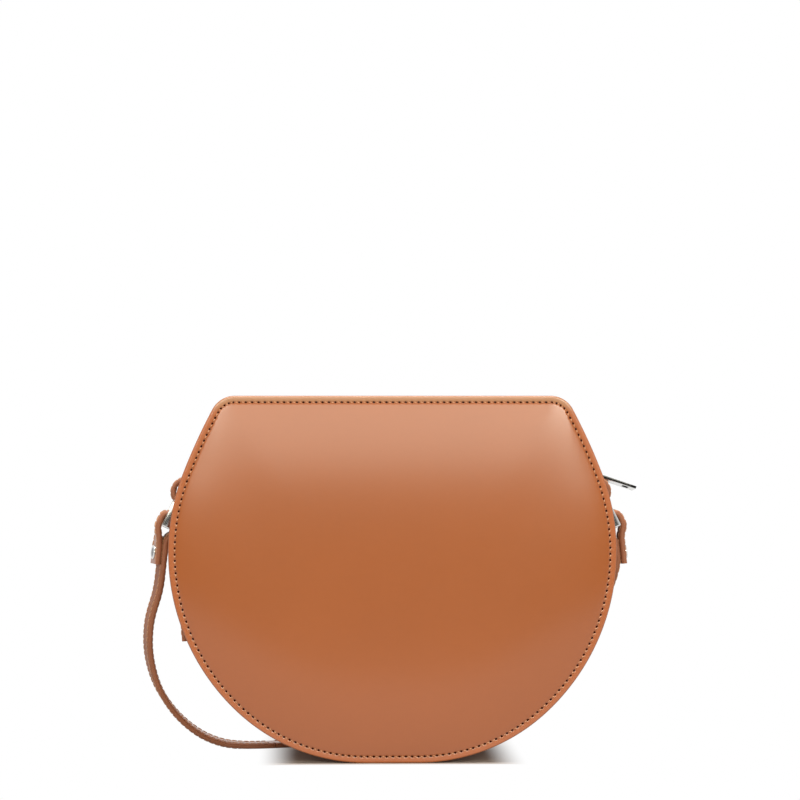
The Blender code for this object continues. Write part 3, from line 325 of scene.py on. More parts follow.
class Skin:
    """Grids of points, joined as quads between neighbours and gathered into one mesh."""

    def __init__(self):
        self.points, self.faces, self.maps = [], [], []
        self.count = 0

    def add(self, points, uv=(0.0, 0.0)):
        """Adds an (m, n, 3) grid or a stack of them, with (u, v) for each point."""
        stack = points.reshape((-1,) + points.shape[-3:])
        shape = stack.shape[:3]
        index = self.count + np.arange(np.prod(shape)).reshape(shape)
        corners = (index[:, :-1, :-1], index[:, 1:, :-1], index[:, 1:, 1:], index[:, :-1, 1:])
        self.points.append(stack.reshape(-1, 3))
        self.faces.append(np.stack(corners, axis=-1).reshape(-1, 4))
        self.maps.append(np.broadcast_to(uv, shape + (2,)).reshape(-1, 2))
        self.count += int(np.prod(shape))
        return self

    def piece(self, name, *values):
        """Welds the grids into a mesh with its faces outwards, made an object by finished."""
        points, faces, uv = (np.concatenate(part) for part in (self.points, self.faces, self.maps))
        mesh = bpy.data.meshes.new(name)
        mesh.vertices.add(len(points))
        mesh.vertices.foreach_set("co", points.astype(np.float32).ravel())
        mesh.loops.add(faces.size)
        mesh.loops.foreach_set("vertex_index", faces.astype(np.int32).ravel())
        mesh.polygons.add(len(faces))
        mesh.polygons.foreach_set("loop_start", np.arange(0, faces.size, 4, dtype=np.int32))
        layer = mesh.uv_layers.new(name="UVMap")
        layer.data.foreach_set("uv", uv[faces.ravel()].astype(np.float32).ravel())
        mesh.update()
        net = bmesh.new()
        net.from_mesh(mesh)
        bmesh.ops.remove_doubles(net, verts=net.verts, dist=WELD)
        bmesh.ops.recalc_face_normals(net, faces=net.faces)
        net.to_mesh(mesh)
        net.free()
        return finished(name, mesh, *values)


def sheet_grid(outer, inner):
    """Closed grid of a sheet from its two sides, both (m, k, 3), whose ends close between them."""
    def loop(first, second):
        return np.concatenate((first, second[:, ::-1], first[:, :1]), axis=1)
    middle = (outer + inner) / 2
    cap = loop(middle, middle)
    return np.concatenate((cap[:1], loop(outer, inner), cap[-1:]))


def sheet_map(along, across):
    """(u, v) of a sheet_grid: u is the length along it, v runs over the outer side and back."""
    u = np.concatenate((along[:1], along, along[-1:]))
    v = np.concatenate((across, 2 * across[-1] - across[::-1], across[:1]))
    return pairs(u[:, None], v[None, :])


def unit(vectors):
    """Vectors of length 1."""
    return vectors / np.linalg.norm(vectors, axis=-1, keepdims=True)


def tubes(centres, sides, ups, radius, flat=1.0, count=6):
    """Closed round tubes about lines of centres: centre + radius (cos a side + flat sin a up)."""
    angle = np.linspace(0.0, 2 * math.pi, count + 1)[:, None]
    ring = (centres[..., None, :] + radius * (np.cos(angle) * sides[..., None, :]
                                              + flat * np.sin(angle) * ups[..., None, :]))
    first = np.broadcast_to(centres[..., :1, None, :], ring[..., :1, :, :].shape)
    last = np.broadcast_to(centres[..., -1:, None, :], ring[..., -1:, :, :].shape)
    return np.concatenate((first, ring, last), axis=-3)


def thread_map(grid, length):
    """(u, v) of stitches: u is the length along each, v runs once round it."""
    return pairs(np.linspace(0.0, length, grid.shape[1])[:, None],
                 np.linspace(0.0, 1.0, grid.shape[2])[None, :])


def turned_grid(profile, axis, count=48):
    """Grid of a form turned about an axis, from (radius, height) points whose ends are on it."""
    angle = np.linspace(0.0, 2 * math.pi, count + 1)[:, None]
    spokes = np.cos(angle) * UP_Y + np.sin(angle) * np.cross(axis, UP_Y)
    return profile[:, 1, None, None] * axis + profile[:, 0, None, None] * spokes[None, :, :]


def eased(value, start, end):
    """0 before start and 1 past end, eased between."""
    share = np.clip((value - start) / (end - start), 0.0, 1.0)
    return share * share * (3 - 2 * share)


def turned(vectors, turn):
    """Vectors turned about the vertical, anticlockwise from above."""
    x, y, z = np.moveaxis(vectors, -1, 0)
    return np.stack((x * np.cos(turn) - y * np.sin(turn), x * np.sin(turn) + y * np.cos(turn), z),
                    axis=-1)


# Finishes

class Wire:
    """A shader socket in an expression. Each operator adds the Math node that works it out."""

    def __init__(self, finish, socket):
        self.finish = finish
        self.socket = socket

    def other(self, output):
        """Another output of the same node, by its number or name."""
        return Wire(self.finish, self.socket.node.outputs[output])

    def maths(self, operation, *values):
        """One Math node on values or wires, or on this one alone."""
        return self.finish.node("Math", {"operation": operation},
                                dict(enumerate(values or (self,))))

    def __add__(self, other):
        return self.maths("ADD", self, other)

    __radd__ = __add__

    def __sub__(self, other):
        return self.maths("SUBTRACT", self, other)

    def __rsub__(self, other):
        return self.maths("SUBTRACT", other, self)

    def __mul__(self, other):
        return self.maths("MULTIPLY", self, other)

    __rmul__ = __mul__

    def __truediv__(self, other):
        return self.maths("DIVIDE", self, other)

    def __pow__(self, other):
        return self.maths("POWER", self, other)

    def __abs__(self):
        return self.maths("ABSOLUTE", self)

    def most(self, other):
        """The larger of two."""
        return self.maths("MAXIMUM", self, other)

    def wave(self, length, shift=0.0):
        """A sine wave from 0 to 1 over a length, shifted by an angle."""
        return (self * (2 * math.pi / length) + shift).maths("SINE") * 0.5 + 0.5

    def eased(self, low, high):
        """0 below low and 1 above high, eased between, or the other way round if low is larger."""
        return self.finish.node("MapRange", {"interpolation_type": "SMOOTHSTEP"},
                                {"Value": self, "From Min": low, "From Max": high})


class Finish:
    """The nodes of a material or of the world."""

    def __init__(self, owner):
        owner.use_nodes = True
        self.owner = owner
        self.tree = owner.node_tree
        self.tree.nodes.clear()

    def node(self, kind, settings=None, values=None, out=0):
        """Adds a node: its settings first, then the values or wires of its sockets."""
        made = self.tree.nodes.new("ShaderNode" + kind)
        for name, setting in (settings or {}).items():
            setattr(made, name, setting)
        for key, value in (values or {}).items():
            if isinstance(value, Wire):
                self.tree.links.new(value.socket, made.inputs[key])
            else:
                made.inputs[key].default_value = value
        return Wire(self, made.outputs[out]) if len(made.outputs) else None

    def place(self):
        """The piece's own coordinates, in metres."""
        return self.node("TexCoord", out=3)

    def split(self, vector):
        """X, Y and Z of a vector."""
        x = self.node("SeparateXYZ", values={"Vector": vector})
        return x, x.other(1), x.other(2)

    def along_and_across(self):
        """The piece's own map: the length along it and the length across it, in metres."""
        return self.split(self.node("TexCoord", out=2))[:2]

    def noise(self, where, size, detail=2.0, roughness=0.5, stretch=None):
        """Soft noise from 0 to 1, with features of a size in metres."""
        if stretch:
            where = self.node("VectorMath", {"operation": "MULTIPLY"}, {0: where, 1: stretch})
        return self.node("TexNoise", values={"Vector": where, "Scale": 1 / size, "Detail": detail,
                                             "Roughness": roughness})

    def cells(self, where, size):
        """Distance from the middle of each cell, with cells of a size in metres."""
        return self.node("TexVoronoi", values={"Vector": where, "Scale": 1 / size})

    def mix(self, share, first, second):
        """A colour between two."""
        first, second = (value if isinstance(value, Wire) else (*value, 1.0)
                         for value in (first, second))
        return self.node("Mix", {"data_type": "RGBA"}, {0: share, 6: first, 7: second}, out=2)

    def bump(self, height, depth, strength=1.0, under=None):
        """A normal bent by a height, whose 0 to 1 is a depth in metres."""
        values = {"Height": height, "Distance": depth, "Strength": strength}
        if under:
            values["Normal"] = under
        return self.node("Bump", values=values)

    def surface(self, **values):
        """Ends the material in its shader, with the sockets' names in lower case."""
        named = {name.replace("_", " ").title().replace("Ior", "IOR"): value
                 for name, value in values.items()}
        self.node("OutputMaterial", values={"Surface": self.node("BsdfPrincipled", values=named)})
        return self.owner


def shade(colour, factor):
    """A colour made lighter or darker, by one factor or by one for each of its parts."""
    return tuple(np.minimum(1.0, np.array(colour[:3]) * factor).tolist())


# The rim outside the seam is drawn paler, and near the top it carries a painted sheen: a highlight
# painted into its colour
RIM_PALE_FACTORS = (1.35, 1.431, 2.43)
PAINTED_SHEEN_HEIGHTS = (BAG_HEIGHT - 9 * MM, BAG_HEIGHT - 3 * MM)
PAINTED_SHEEN_TONE = (0.53, 0.33, 0.18)
# Needle holes are coloured near black: painted shade in the holes
HOLE_PAINTED_SHADE = (0.075, 0.012, 0.002)
HOLE_LONG = 0.58 * MM
HOLE_SHORT = 0.46 * MM
HOLE_SLANT = -0.3
HOLE_FADE = (1.25, 0.7)
PAINT_FADE = 0.35 * MM


def needle_holes(along, across, pitch):
    """1 in a slanted oval round each needle hole of the seam, and 0 outside."""
    a = ((along / pitch + 0.5).maths("FRACT") - 0.5) * pitch
    b = across - SEAM_INSET
    turned_a = a * math.cos(HOLE_SLANT) + b * math.sin(HOLE_SLANT)
    turned_b = b * math.cos(HOLE_SLANT) - a * math.sin(HOLE_SLANT)
    reach = ((turned_a / HOLE_LONG) ** 2.0 + (turned_b / HOLE_SHORT) ** 2.0).maths("SQRT")
    return reach.eased(*HOLE_FADE)


def leather(made, colour, edge, low_v, high_v=None, pitch=None, coat=0.0, rough=0.42, shine=0.5):
    """Smooth dyed leather: clouds of colour, fine grain and pores, faint rubbing, painted edges.

    low_v and high_v are where the painted edges start on the piece's map. Where a seam's pitch is
    given, the leather has its needle holes and a groove along them, both darkened with painted
    shade, and is paler outside them, with a painted sheen near the top.
    """
    where = made.place()
    clouds = made.noise(where, 45 * MM, 3.0)
    mottle = made.noise(where, 3.2 * MM, 4.0, 0.6)
    grain = made.noise(where, 0.35 * MM, 3.0, 0.6)
    pores = made.cells(where, 0.62 * MM)
    rubbed = made.noise(where, 1.4 * MM, 3.0, 0.55, (0.12, 1.0, 1.0))
    tone = clouds * 0.55 + mottle * 0.3 + rubbed * 0.15
    base = made.mix(tone, shade(colour, 0.91), shade(colour, 1.09))
    base = made.mix(pores.eased(0.22, 0.02) * 0.16, base, shade(colour, 0.62))
    roughness = rough + (grain - 0.5) * 0.06 + (rubbed - 0.5) * 0.08
    normal = made.bump(grain * 0.5 + pores.eased(0.0, 0.5) * 0.5, 0.012 * MM, 0.55)
    normal = made.bump(rubbed, 0.02 * MM, 0.12, normal)
    along, across = made.along_and_across()
    if pitch:
        pale = across.eased(SEAM_INSET - 0.1 * MM, SEAM_INSET - 0.7 * MM)
        # The rim outside the seam is drawn paler and yellower
        base = made.mix(pale * 0.5, base, shade(colour, RIM_PALE_FACTORS))
        # Painted sheen: near the top, the rim outside the seam is mixed towards a pale tone, a
        # highlight painted into its colour
        high = made.split(where)[2]
        base = made.mix(pale * high.eased(*PAINTED_SHEEN_HEIGHTS) * 0.5, base, PAINTED_SHEEN_TONE)
    paint = across.eased(low_v, low_v - PAINT_FADE)
    if high_v:
        paint = paint.most(across.eased(high_v, high_v + PAINT_FADE))
    drag = made.noise(where, 0.8 * MM, 3.0)
    base = made.mix(paint, base, made.mix(drag, shade(edge, 0.85), shade(edge, 1.1)))
    roughness = roughness + paint * 0.2
    coat = (1.0 - paint) * coat
    holes = {}
    if pitch:
        hole = needle_holes(along, across, pitch)
        # Painted shade: the leather is darkened along the seam's groove
        painted_groove_shade = abs(across - SEAM_INSET).eased(0.75 * MM, 0.15 * MM)
        base = made.mix(painted_groove_shade * 0.15, base, shade(colour, 0.55))
        # Painted shade: each needle hole is coloured near black, and made metallic, rough and
        # uncoated so that it stays dark
        base = made.mix(hole, base, HOLE_PAINTED_SHADE)
        roughness = roughness + hole * 0.6
        coat = (1.0 - hole) * coat
        normal = made.bump(1.0 - hole, 0.25 * MM, 0.8, normal)
        holes["metallic"] = hole
    return made.surface(base_color=base, roughness=roughness, normal=normal, coat_weight=coat,
                        coat_roughness=0.2, specular_ior_level=shine, **holes)


def thread_finish(made, colour):
    """Waxed thread: two plies that twist round it, drawn on the piece's own map."""
    along, across = made.along_and_across()
    ply = (along / (0.9 * MM) + across).wave(1.0)
    fibre = made.noise(made.place(), 0.12 * MM, 2.0)
    base = made.mix(ply * 0.7 + fibre * 0.3, shade(colour, 0.85), shade(colour, 1.08))
    return made.surface(base_color=base, roughness=0.52 + fibre * 0.12,
                        normal=made.bump(ply, 0.06 * MM, 0.8))


def plated(made, colour, rough=0.13, dark_to=None):
    """Polished nickel plate: fine polishing lines and faint haze.

    It is painted dark where the way across its map is under the given limit: a painted dark
    reflection in a cap's dish and on a plate's walls.
    """
    where = made.place()
    lines = made.noise(where, 0.25 * MM, 2.0, 0.5, (1.0, 0.06, 1.0))
    haze = made.noise(where, 4.0 * MM, 3.0)
    base = made.mix(haze, shade(colour, 0.94), shade(colour, 1.03))
    if dark_to:
        across = made.along_and_across()[1]
        # Painted dark reflection: below the limit, the metal is coloured near black
        base = made.mix(across.eased(dark_to, dark_to * 0.85), base, shade(colour, 0.12))
    return made.surface(base_color=base, metallic=1.0, roughness=rough + haze * 0.07 + lines * 0.04,
                        normal=made.bump(lines, 0.001 * MM, 0.4))


def woven_tape(made, colour):
    """Zip tape: fine warp ribs along it, crossed by a finer weft."""
    along, across = made.along_and_across()
    warp = across.wave(0.62 * MM)
    weave = warp * 0.6 + along.wave(0.4 * MM, warp * 2.6) * 0.4
    fuzz = made.noise(made.place(), 0.2 * MM, 3.0)
    base = made.mix(weave * 0.8 + fuzz * 0.2, shade(colour, 0.6), shade(colour, 1.15))
    return made.surface(base_color=base, roughness=0.82 + fuzz * 0.1,
                        normal=made.bump(weave, 0.12 * MM, 0.8))


def twill(made, colour):
    """Cotton lining: a diagonal twill rib crossed by the yarns, with slubs."""
    where = made.place()
    x, y, z = made.split(where)
    weave = (x + z + y * 0.7).wave(0.9 * MM) * 0.65 + (x - z + y * 0.4).wave(0.45 * MM) * 0.35
    slub = made.noise(where, 1.6 * MM, 3.0, 0.6, (0.2, 1.0, 1.0))
    base = made.mix(weave * 0.7 + slub * 0.3, shade(colour, 0.68), shade(colour, 1.16))
    return made.surface(base_color=base, roughness=0.86 + slub * 0.1,
                        normal=made.bump(weave, 0.1 * MM, 0.8))


def fibre_board(made, colour):
    """Bonded leather board: pressed fibres and darker specks."""
    where = made.place()
    fibres = made.noise(where, 1.1 * MM, 4.0, 0.65, (0.3, 1.0, 1.0))
    specks = made.cells(where, 2.6 * MM).eased(0.16, 0.05)
    base = made.mix(fibres, shade(colour, 0.8), shade(colour, 1.12))
    base = made.mix(specks * 0.5, base, shade(colour, 0.45))
    return made.surface(base_color=base, roughness=0.84 + fibres * 0.1,
                        normal=made.bump(fibres, 0.06 * MM, 0.7))


FINISHES = {}


def finish(name, make, *values, **more):
    """A finish that several pieces share, made once."""
    if name not in FINISHES:
        FINISHES[name] = make(Finish(bpy.data.materials.new(name)), *values, **more)
    return FINISHES[name]


# Sizes and colours that a user may change

def length(name, description, default):
    """A length property."""
    return bpy.props.FloatProperty(name=name, description=description, default=default,
                                   min=0.0, soft_max=0.1, unit="LENGTH", precision=5)


def angle(name, description, default):
    """A small angle property, from its degrees."""
    return bpy.props.FloatProperty(name=name, description=description, min=0.0,
                                   default=math.radians(default), max=math.radians(20.0),
                                   subtype="ANGLE")


def tint(name, description, default):
    """A colour property."""
    return bpy.props.FloatVectorProperty(name=name, description=description, default=default,
                                         min=0.0, max=1.0, size=3, subtype="COLOR")


class BagSizes(bpy.types.PropertyGroup):
    """Sizes of the bag's finish."""

    crown: length("Panel crown", "How far a panel stands out at its middle", 3.6 * MM)
    crown_reach: length("Crown reach", "How far in from the seam the crown rises", 48.0 * MM)
    top_reach: length("Top reach", "How far down from the top the crown rises", 76.0 * MM)
    crown_start: length("Crown start", "Where the crown starts, from the rim", 2.7 * MM)
    corner_blend: length("Corner blend", "Width of the round ridge inside each corner", 3.0 * MM)
    panel_edge: length("Panel edge radius", "Radius of the panels' burnished edge", 0.85 * MM)
    seam_groove: length("Seam groove", "How deep the seam pulls the leather in", 0.12 * MM)
    hole_depth: length("Needle hole depth", "Depth of a needle hole's dimple", 0.35 * MM)
    stitch: length("Stitch length", "Length of a stitch", 3.0 * MM)
    thread: length("Thread thickness", "Thickness of the thread", 0.48 * MM)
    thread_shown: length("Thread shown", "Length of a stitch that shows", 1.25 * MM)
    thread_slant: length("Thread slant", "How far a stitch crosses its seam", 0.45 * MM)
    thread_lift: length("Thread lift", "How far a stitch rises", 0.5 * MM)
    thread_sink: length("Thread sink", "How deep a stitch's ends lie", 0.42 * MM)
    edge_seam: length("Edge seam", "How far in a strap's seam is from its edge", 1.7 * MM)
    ring_turn: angle("Ring turn", "How far the left ring is turned to the front", 3.5)
    ring_twist: angle("Ring twist", "How far the right ring is twisted about its length", 11.0)
    strap_turn: angle("Strap turn", "How far the left bow is turned to the front", 15.0)


class BagColours(bpy.types.PropertyGroup):
    """Colours of the bag and its stage."""

    leather: tint("Panel leather", "Colour of the panels' leather", (0.375, 0.095, 0.014))
    trim: tint("Trim leather", "Colour of the gusset, tabs and strap", (0.395, 0.14, 0.058))
    edge: tint("Edge paint", "Colour of the painted edges", (0.35, 0.122, 0.052))
    thread: tint("Thread", "Colour of the seams' thread", (0.64, 0.325, 0.155))
    metal: tint("Metal", "Colour of the nickel plate", (0.70, 0.69, 0.67))
    tape: tint("Zip tape", "Colour of the zip's cloth", (0.28, 0.10, 0.045))
    lining: tint("Lining", "Colour of the lining", (0.36, 0.23, 0.14))
    board: tint("Board", "Colour of the stiffening boards", (0.55, 0.50, 0.42))
    floor: tint("Floor", "Colour of the floor", (0.72, 0.72, 0.72))


# Panels and their seams: each panel's name, depth, way outwards and share of the crown

PANEL_SIDES = (("front", 0.0, -1.0, 1.0), ("back", BACK_PANEL, 1.0, 0.0))
RIDGE_GROWTH = 0.6
HOLE_DIMPLE = (0.5 * MM, 0.36 * MM)
HOLE_SHARES = np.array((-0.16, -0.08, 0.0, 0.08, 0.16, 0.32, 0.5, 0.68))
FACE_INSETS = np.array((1.3, 1.9, 2.4, 2.7, 2.95, 3.1, 3.25, 3.5, 3.85, 4.4, 5.2, 6.4, 8.0)) * MM
CORE_SPREAD = 1.15
THREAD_SHIFT = 0.4 * MM
THREAD_FLAT = 0.8
RIM_STITCH_FACE = FLANGE_FACE - 0.1 * MM
PANEL_PAINT = 0.4 * MM


def side_distance(x, z):
    """Distance in from the foot, sides and shoulders: straight up from the flat foot, and elsewhere
    the radius of the arc whose spoke passes the point, less the distance from its centre."""
    x = np.abs(x)
    inside = np.where(x <= OUTLINE.x[1], z, np.inf)
    for i in (1, 2, 3):
        radius = 1 / OUTLINE.bends[i]
        centre_x = OUTLINE.x[i] - radius * math.sin(OUTLINE.headings[i])
        centre_z = OUTLINE.z[i] + radius * math.cos(OUTLINE.headings[i])
        spoke = np.arctan2(x - centre_x, centre_z - z)
        last = math.pi if i == 3 else OUTLINE.headings[i + 1]
        within = (spoke >= OUTLINE.headings[i]) & (spoke <= last)
        distance = radius - np.hypot(x - centre_x, z - centre_z)
        inside = np.where(within, np.minimum(inside, distance), inside)
    return np.where(np.isfinite(inside), inside, BAG_HEIGHT / 2)


def crown(x, z, sizes):
    """How far the panel stands out: crown times 1 - (1 - share)^3 of the way in from the rim.

    The way in is the smaller of the ways from the sides and the top, less blend / 4 times the
    square of how close they are within the blend, which rounds the ridge from each corner. Past
    the start, the way from the top counts less, so the crown rises over a longer reach there.
    """
    start, side = sizes.crown_start, side_distance(x, z)
    top = start + (BAG_HEIGHT - z - start) * sizes.crown_reach / sizes.top_reach
    nearest = np.minimum(side, top)
    blend = sizes.corner_blend + RIDGE_GROWTH * np.maximum(nearest, 0.0)
    close = np.clip(1 - np.abs(side - top) / blend, 0.0, 1.0)
    share = (nearest - close ** 2 * blend / 4 - start) / sizes.crown_reach
    return sizes.crown * (1 - (1 - np.clip(share, 0.0, 1.0)) ** 3)


def stitches_round(sizes):
    """Whole number of stitches round a panel, and the length of one."""
    count = round(ROUND / sizes.stitch)
    return count, ROUND / count


def seam_pull(station, inset, sizes):
    """How far the seam pulls the leather in: a groove along it and an oval dimple at each hole."""
    pitch = stitches_round(sizes)[1]
    along, across = HOLE_DIMPLE
    off = (np.mod(station / pitch + 0.5, 1.0) - 0.5) * pitch
    in_groove = (inset - SEAM_INSET) / along
    in_hole = (inset - SEAM_INSET) / across
    return (sizes.seam_groove * np.exp(-in_groove ** 2)
            + sizes.hole_depth * np.exp(-(off / along) ** 2 - in_hole ** 2))


def panel_stations(sizes):
    """Stations round the rim, closer together at each needle hole."""
    count, pitch = stitches_round(sizes)
    stations = (np.arange(count)[:, None] + HOLE_SHARES) * pitch
    return np.append(stations.ravel(), stations[0, 0] + ROUND)


def panel_grid(depth, outward, crowned, sizes):
    """A panel as a grid: round the rim one way, and over its section the other.

    The section starts in the middle of the inner face, goes out to the rim, turns round a half
    circle flattened to the leather's thickness, and comes back over the crowned outer face.
    """
    stations = panel_stations(sizes)
    radius = sizes.panel_edge
    angle = np.radians(np.linspace(-90.0, 90.0, 9))
    edge_inset = radius * (1 - np.cos(angle))
    edge_out = (PANEL_INNER - radius) * np.sign(np.sin(angle)) + radius * np.sin(angle)
    insets = np.concatenate(((CORE_INSET,), edge_inset, FACE_INSETS))
    outs = np.concatenate(((-PANEL_INNER,), edge_out, np.full(len(FACE_INSETS), PANEL_INNER)))
    x, z, _, _ = rim(stations[:, None], insets[None, :])
    on_face = (np.arange(len(insets)) > len(edge_inset)).astype(float)
    out = outs + on_face * (crowned * crown(x, z, sizes)
                            - seam_pull(stations[:, None], insets, sizes))
    share = np.linspace(0.0, 1.0, 21)[1:] ** CORE_SPREAD
    centre_z = BAG_HEIGHT / 2
    core_x = x[:, -1:] * (1 - share)
    core_z = z[:, -1:] * (1 - share) + centre_z * share
    core_out = PANEL_INNER + crowned * crown(core_x, core_z, sizes)
    inner = np.broadcast_to((0.0, -PANEL_INNER, centre_z), (len(x), 1, 3))
    points = np.concatenate((inner, np.stack((x, out, z), axis=-1),
                             np.stack((core_x, core_out, core_z), axis=-1)), axis=1)
    points[..., 1] = depth + outward * points[..., 1]
    v = np.concatenate(((-CORE_INSET * 6, -CORE_INSET), radius - radius * (math.pi / 2 - angle),
                        FACE_INSETS, CORE_INSET + share * BAG_HEIGHT / 2))
    return points, pairs(stations[:, None], v[None, :])


def seam_threads(sizes, surface, depth, outward):
    """Stitches round the rim: each comes up out of a hole, lies slantwise and dips in at the next.

    The line rises as lift times (1 - |2t - 1|^3), less a sink, in the middle between two holes.
    """
    count, pitch = stitches_round(sizes)
    share = np.linspace(0.0, 1.0, 9)
    middle = np.arange(count)[:, None] + 0.5
    station = (middle * pitch + THREAD_SHIFT * np.sin(2 * math.pi * middle / count)
               + (share - 0.5) * sizes.thread_shown)
    lift = sizes.thread_lift * (1 - np.abs(2 * share - 1) ** 3) - sizes.thread_sink
    x, z, out_x, out_z = rim(station, SEAM_INSET + (0.5 - share) * sizes.thread_slant)
    height = np.broadcast_to(surface(x, z) + lift, x.shape)
    centres = np.stack((x, depth + outward * height, z), axis=-1)
    sides = np.stack((out_x, np.zeros_like(x), out_z), axis=-1)
    ups = np.broadcast_to(UP_Y * outward, sides.shape)
    grid = tubes(centres, sides, ups, sizes.thread / 2, THREAD_FLAT)
    return grid, thread_map(grid, pitch)


class BAG_OT_panels(bpy.types.Operator):
    """Makes the crowned front panel and the flat back panel with their burnished edges and needle
    holes
    """

    bl_idname = "bag.panels"
    bl_label = "Panels"

    def execute(self, context):
        sizes, colours = context.scene.bag_sizes, context.scene.bag_colours
        material = finish("panel_leather", leather, colours.leather, colours.edge, PANEL_PAINT,
                          pitch=stitches_round(sizes)[1], coat=1.0, rough=0.33, shine=0.35)
        for side, depth, outward, crowned in PANEL_SIDES:
            Skin().add(*panel_grid(depth, outward, crowned, sizes)).piece(
                side + "_panel_leather", material, "panel_leather", "shell", [side + "_panel"])
        return {"FINISHED"}


class BAG_OT_seams(bpy.types.Operator):
    """Makes the stitches round both panels, on their faces and on the gusset's turned rim"""

    bl_idname = "bag.seams"
    bl_label = "Seams"

    def execute(self, context):
        sizes, colours = context.scene.bag_sizes, context.scene.bag_colours
        material = finish("thread", thread_finish, colours.thread)
        for side, depth, outward, crowned in PANEL_SIDES:
            def face(x, z):
                return PANEL_INNER + crowned * crown(x, z, sizes) - sizes.seam_groove
            for name, surface, facing, replaced in (
                    ("_seam_stitches", face, outward, ["seam_thread_" + side]),
                    ("_rim_stitches", lambda x, z: RIM_STITCH_FACE, -outward, [])):
                Skin().add(*seam_threads(sizes, surface, depth, facing)).piece(
                    side + name, material, "thread", "shell", replaced)
        return {"FINISHED"}


# Gussets and zip

RIM_SPACING = 1.6 * MM
GUSSET_PAINT = 0.9 * MM
FLANGE_INSETS = (2.0 * MM, 3.1 * MM, 4.4 * MM, RIM_DEPTH - GUSSET_BEND)
STRIP_LAY = np.array((6.0, 4.0, 3.2, 2.2)) * MM
# Sections of a tooth and of the stops, from root to head: the distance from the middle line, half
# the length along the rim, and the insets of top and bottom
TOOTH = np.array(((2.7, 0.55, 7.75, 9.85), (2.5, 0.68, 7.6, 10.0), (1.1, 0.68, 7.6, 10.0),
                  (0.7, 0.55, 7.8, 9.8), (0.1, 0.66, 7.8, 9.8), (-0.35, 0.6, 7.85, 9.75),
                  (-0.5, 0.4, 8.1, 9.5))) * MM
STOP = np.array(((2.7, 0.5, 7.7, 9.9), (2.6, 0.6, 7.6, 10.0), (0.4, 0.6, 7.6, 10.0),
                 (0.3, 0.5, 7.7, 9.9))) * MM
END_STOP = np.array(((-2.7, 0.5, 7.7, 9.9), (-2.6, 0.6, 7.6, 10.0), (2.6, 0.6, 7.6, 10.0),
                     (2.7, 0.5, 7.7, 9.9))) * MM


def flange(depth, inward):
    """Both sides of a turned-out flange as (inset, depth) points: each leaves the edge by a quarter
    circle, runs flat and turns inwards by a quarter circle."""
    turn = np.radians(np.linspace(0.0, 90.0, 7))[1:]
    tip = np.radians(np.linspace(0.0, 90.0, 4))
    half = GUSSET_LEATHER / 2
    middle = FLANGE_FACE - half
    sides = []
    for sign, radius in ((1.0, GUSSET_BEND), (-1.0, GUSSET_BEND + GUSSET_LEATHER)):
        face = middle + sign * half
        insets = np.concatenate((RIM_SETBACK + half * (1 - np.sin(tip)), FLANGE_INSETS,
                                 FLANGE_INSETS[-1] + radius * np.sin(turn)))
        depths = np.concatenate((middle + sign * half * np.sin(tip),
                                 np.full(len(FLANGE_INSETS), face),
                                 face + radius * (1 - np.cos(turn))))
        sides.append(np.stack((insets, depth + inward * depths)))
    return sides


def strip_edge(depth, inward):
    """Both sides of a strip's free edge at the zip, which end in the halves of a half circle."""
    tip = np.radians(np.linspace(90.0, 0.0, 4))
    half = GUSSET_LEATHER / 2
    depths = depth - inward * np.concatenate((STRIP_LAY, half * (1 - np.cos(tip))))
    rise = half * np.concatenate((np.ones(len(STRIP_LAY)), np.sin(tip)))
    return [np.stack((RIM_DEPTH + half + sign * rise, depths)) for sign in (-1.0, 1.0)]


def along_rim(start, end, outer, inner):
    """Grid and map of a sheet whose two sides, of (inset, depth) points, follow the rim."""
    stations = even(start, end, RIM_SPACING)
    grid = sheet_grid(rim_grid(stations, *outer), rim_grid(stations, *inner))
    return grid, sheet_map(stations, run_lengths(outer.T))


class BAG_OT_gussets(bpy.types.Operator):
    """Makes the gusset below the zip and the two strips that hold the zip"""

    bl_idname = "bag.gussets"
    bl_label = "Gussets"

    def execute(self, context):
        colours = context.scene.bag_colours
        material = finish("gusset_leather", leather, colours.trim, colours.edge, GUSSET_PAINT,
                          rough=0.44, coat=0.3)
        front, back = flange(0.0, 1.0), flange(BACK_PANEL, -1.0)
        gap = SEAT_GAP / 2
        lower = [np.concatenate((front[i], back[i][:, ::-1]), axis=1) for i in (0, 1)]
        parts = [("lower_gusset_leather", -JOINT + gap, JOINT - gap, lower, "lower_gusset")]
        for side, sewn, inward in (("front", front, 1.0), ("back", back, -1.0)):
            free = strip_edge(MID_DEPTH - inward * ZIP_OPENING / 2, inward)
            strip = [np.concatenate((sewn[i], free[i]), axis=1) for i in (0, 1)]
            parts.append(("zip_strip_" + side, JOINT + gap, ROUND - JOINT - gap, strip,
                          "zip_gusset_" + side))
        for name, start, end, faces, replaced in parts:
            Skin().add(*along_rim(start, end, *faces)).piece(
                name, material, "trim_leather", "shell", [replaced])
        return {"FINISHED"}


BLOCK_OVAL = 0.5
BRIDGE_OVAL = 0.45


def squared(value, power):
    """A cosine or sine drawn towards 1 or -1, which squares a circle off."""
    return np.sign(value) * np.abs(value) ** power


def flat_blocks(stations, rows, sign):
    """Rounded blocks across the rim, each a stack of sections from its root to its head.

    Each section is an oval with flattened sides: cos and sin to a power under 1.
    """
    angle = np.linspace(0.0, 2 * math.pi, 9) + math.pi / 8
    rows = np.concatenate((rows[:1] * (1, 0, 1, 1), rows, rows[-1:] * (1, 0, 1, 1)))
    middle = (rows[:, 2] + rows[:, 3]) / 2
    tall = (rows[:, 3] - rows[:, 2]) / 2
    tall[[0, -1]] = 0.0
    station = stations[:, None, None] + rows[:, 1, None] * squared(np.cos(angle), BLOCK_OVAL)
    inset = middle[:, None] + tall[:, None] * squared(np.sin(angle), BLOCK_OVAL)
    x, z, _, _ = rim(station, np.broadcast_to(inset, station.shape))
    depth = MID_DEPTH + sign * rows[:, 0, None]
    return np.stack((x, np.broadcast_to(depth, x.shape), z), axis=-1)


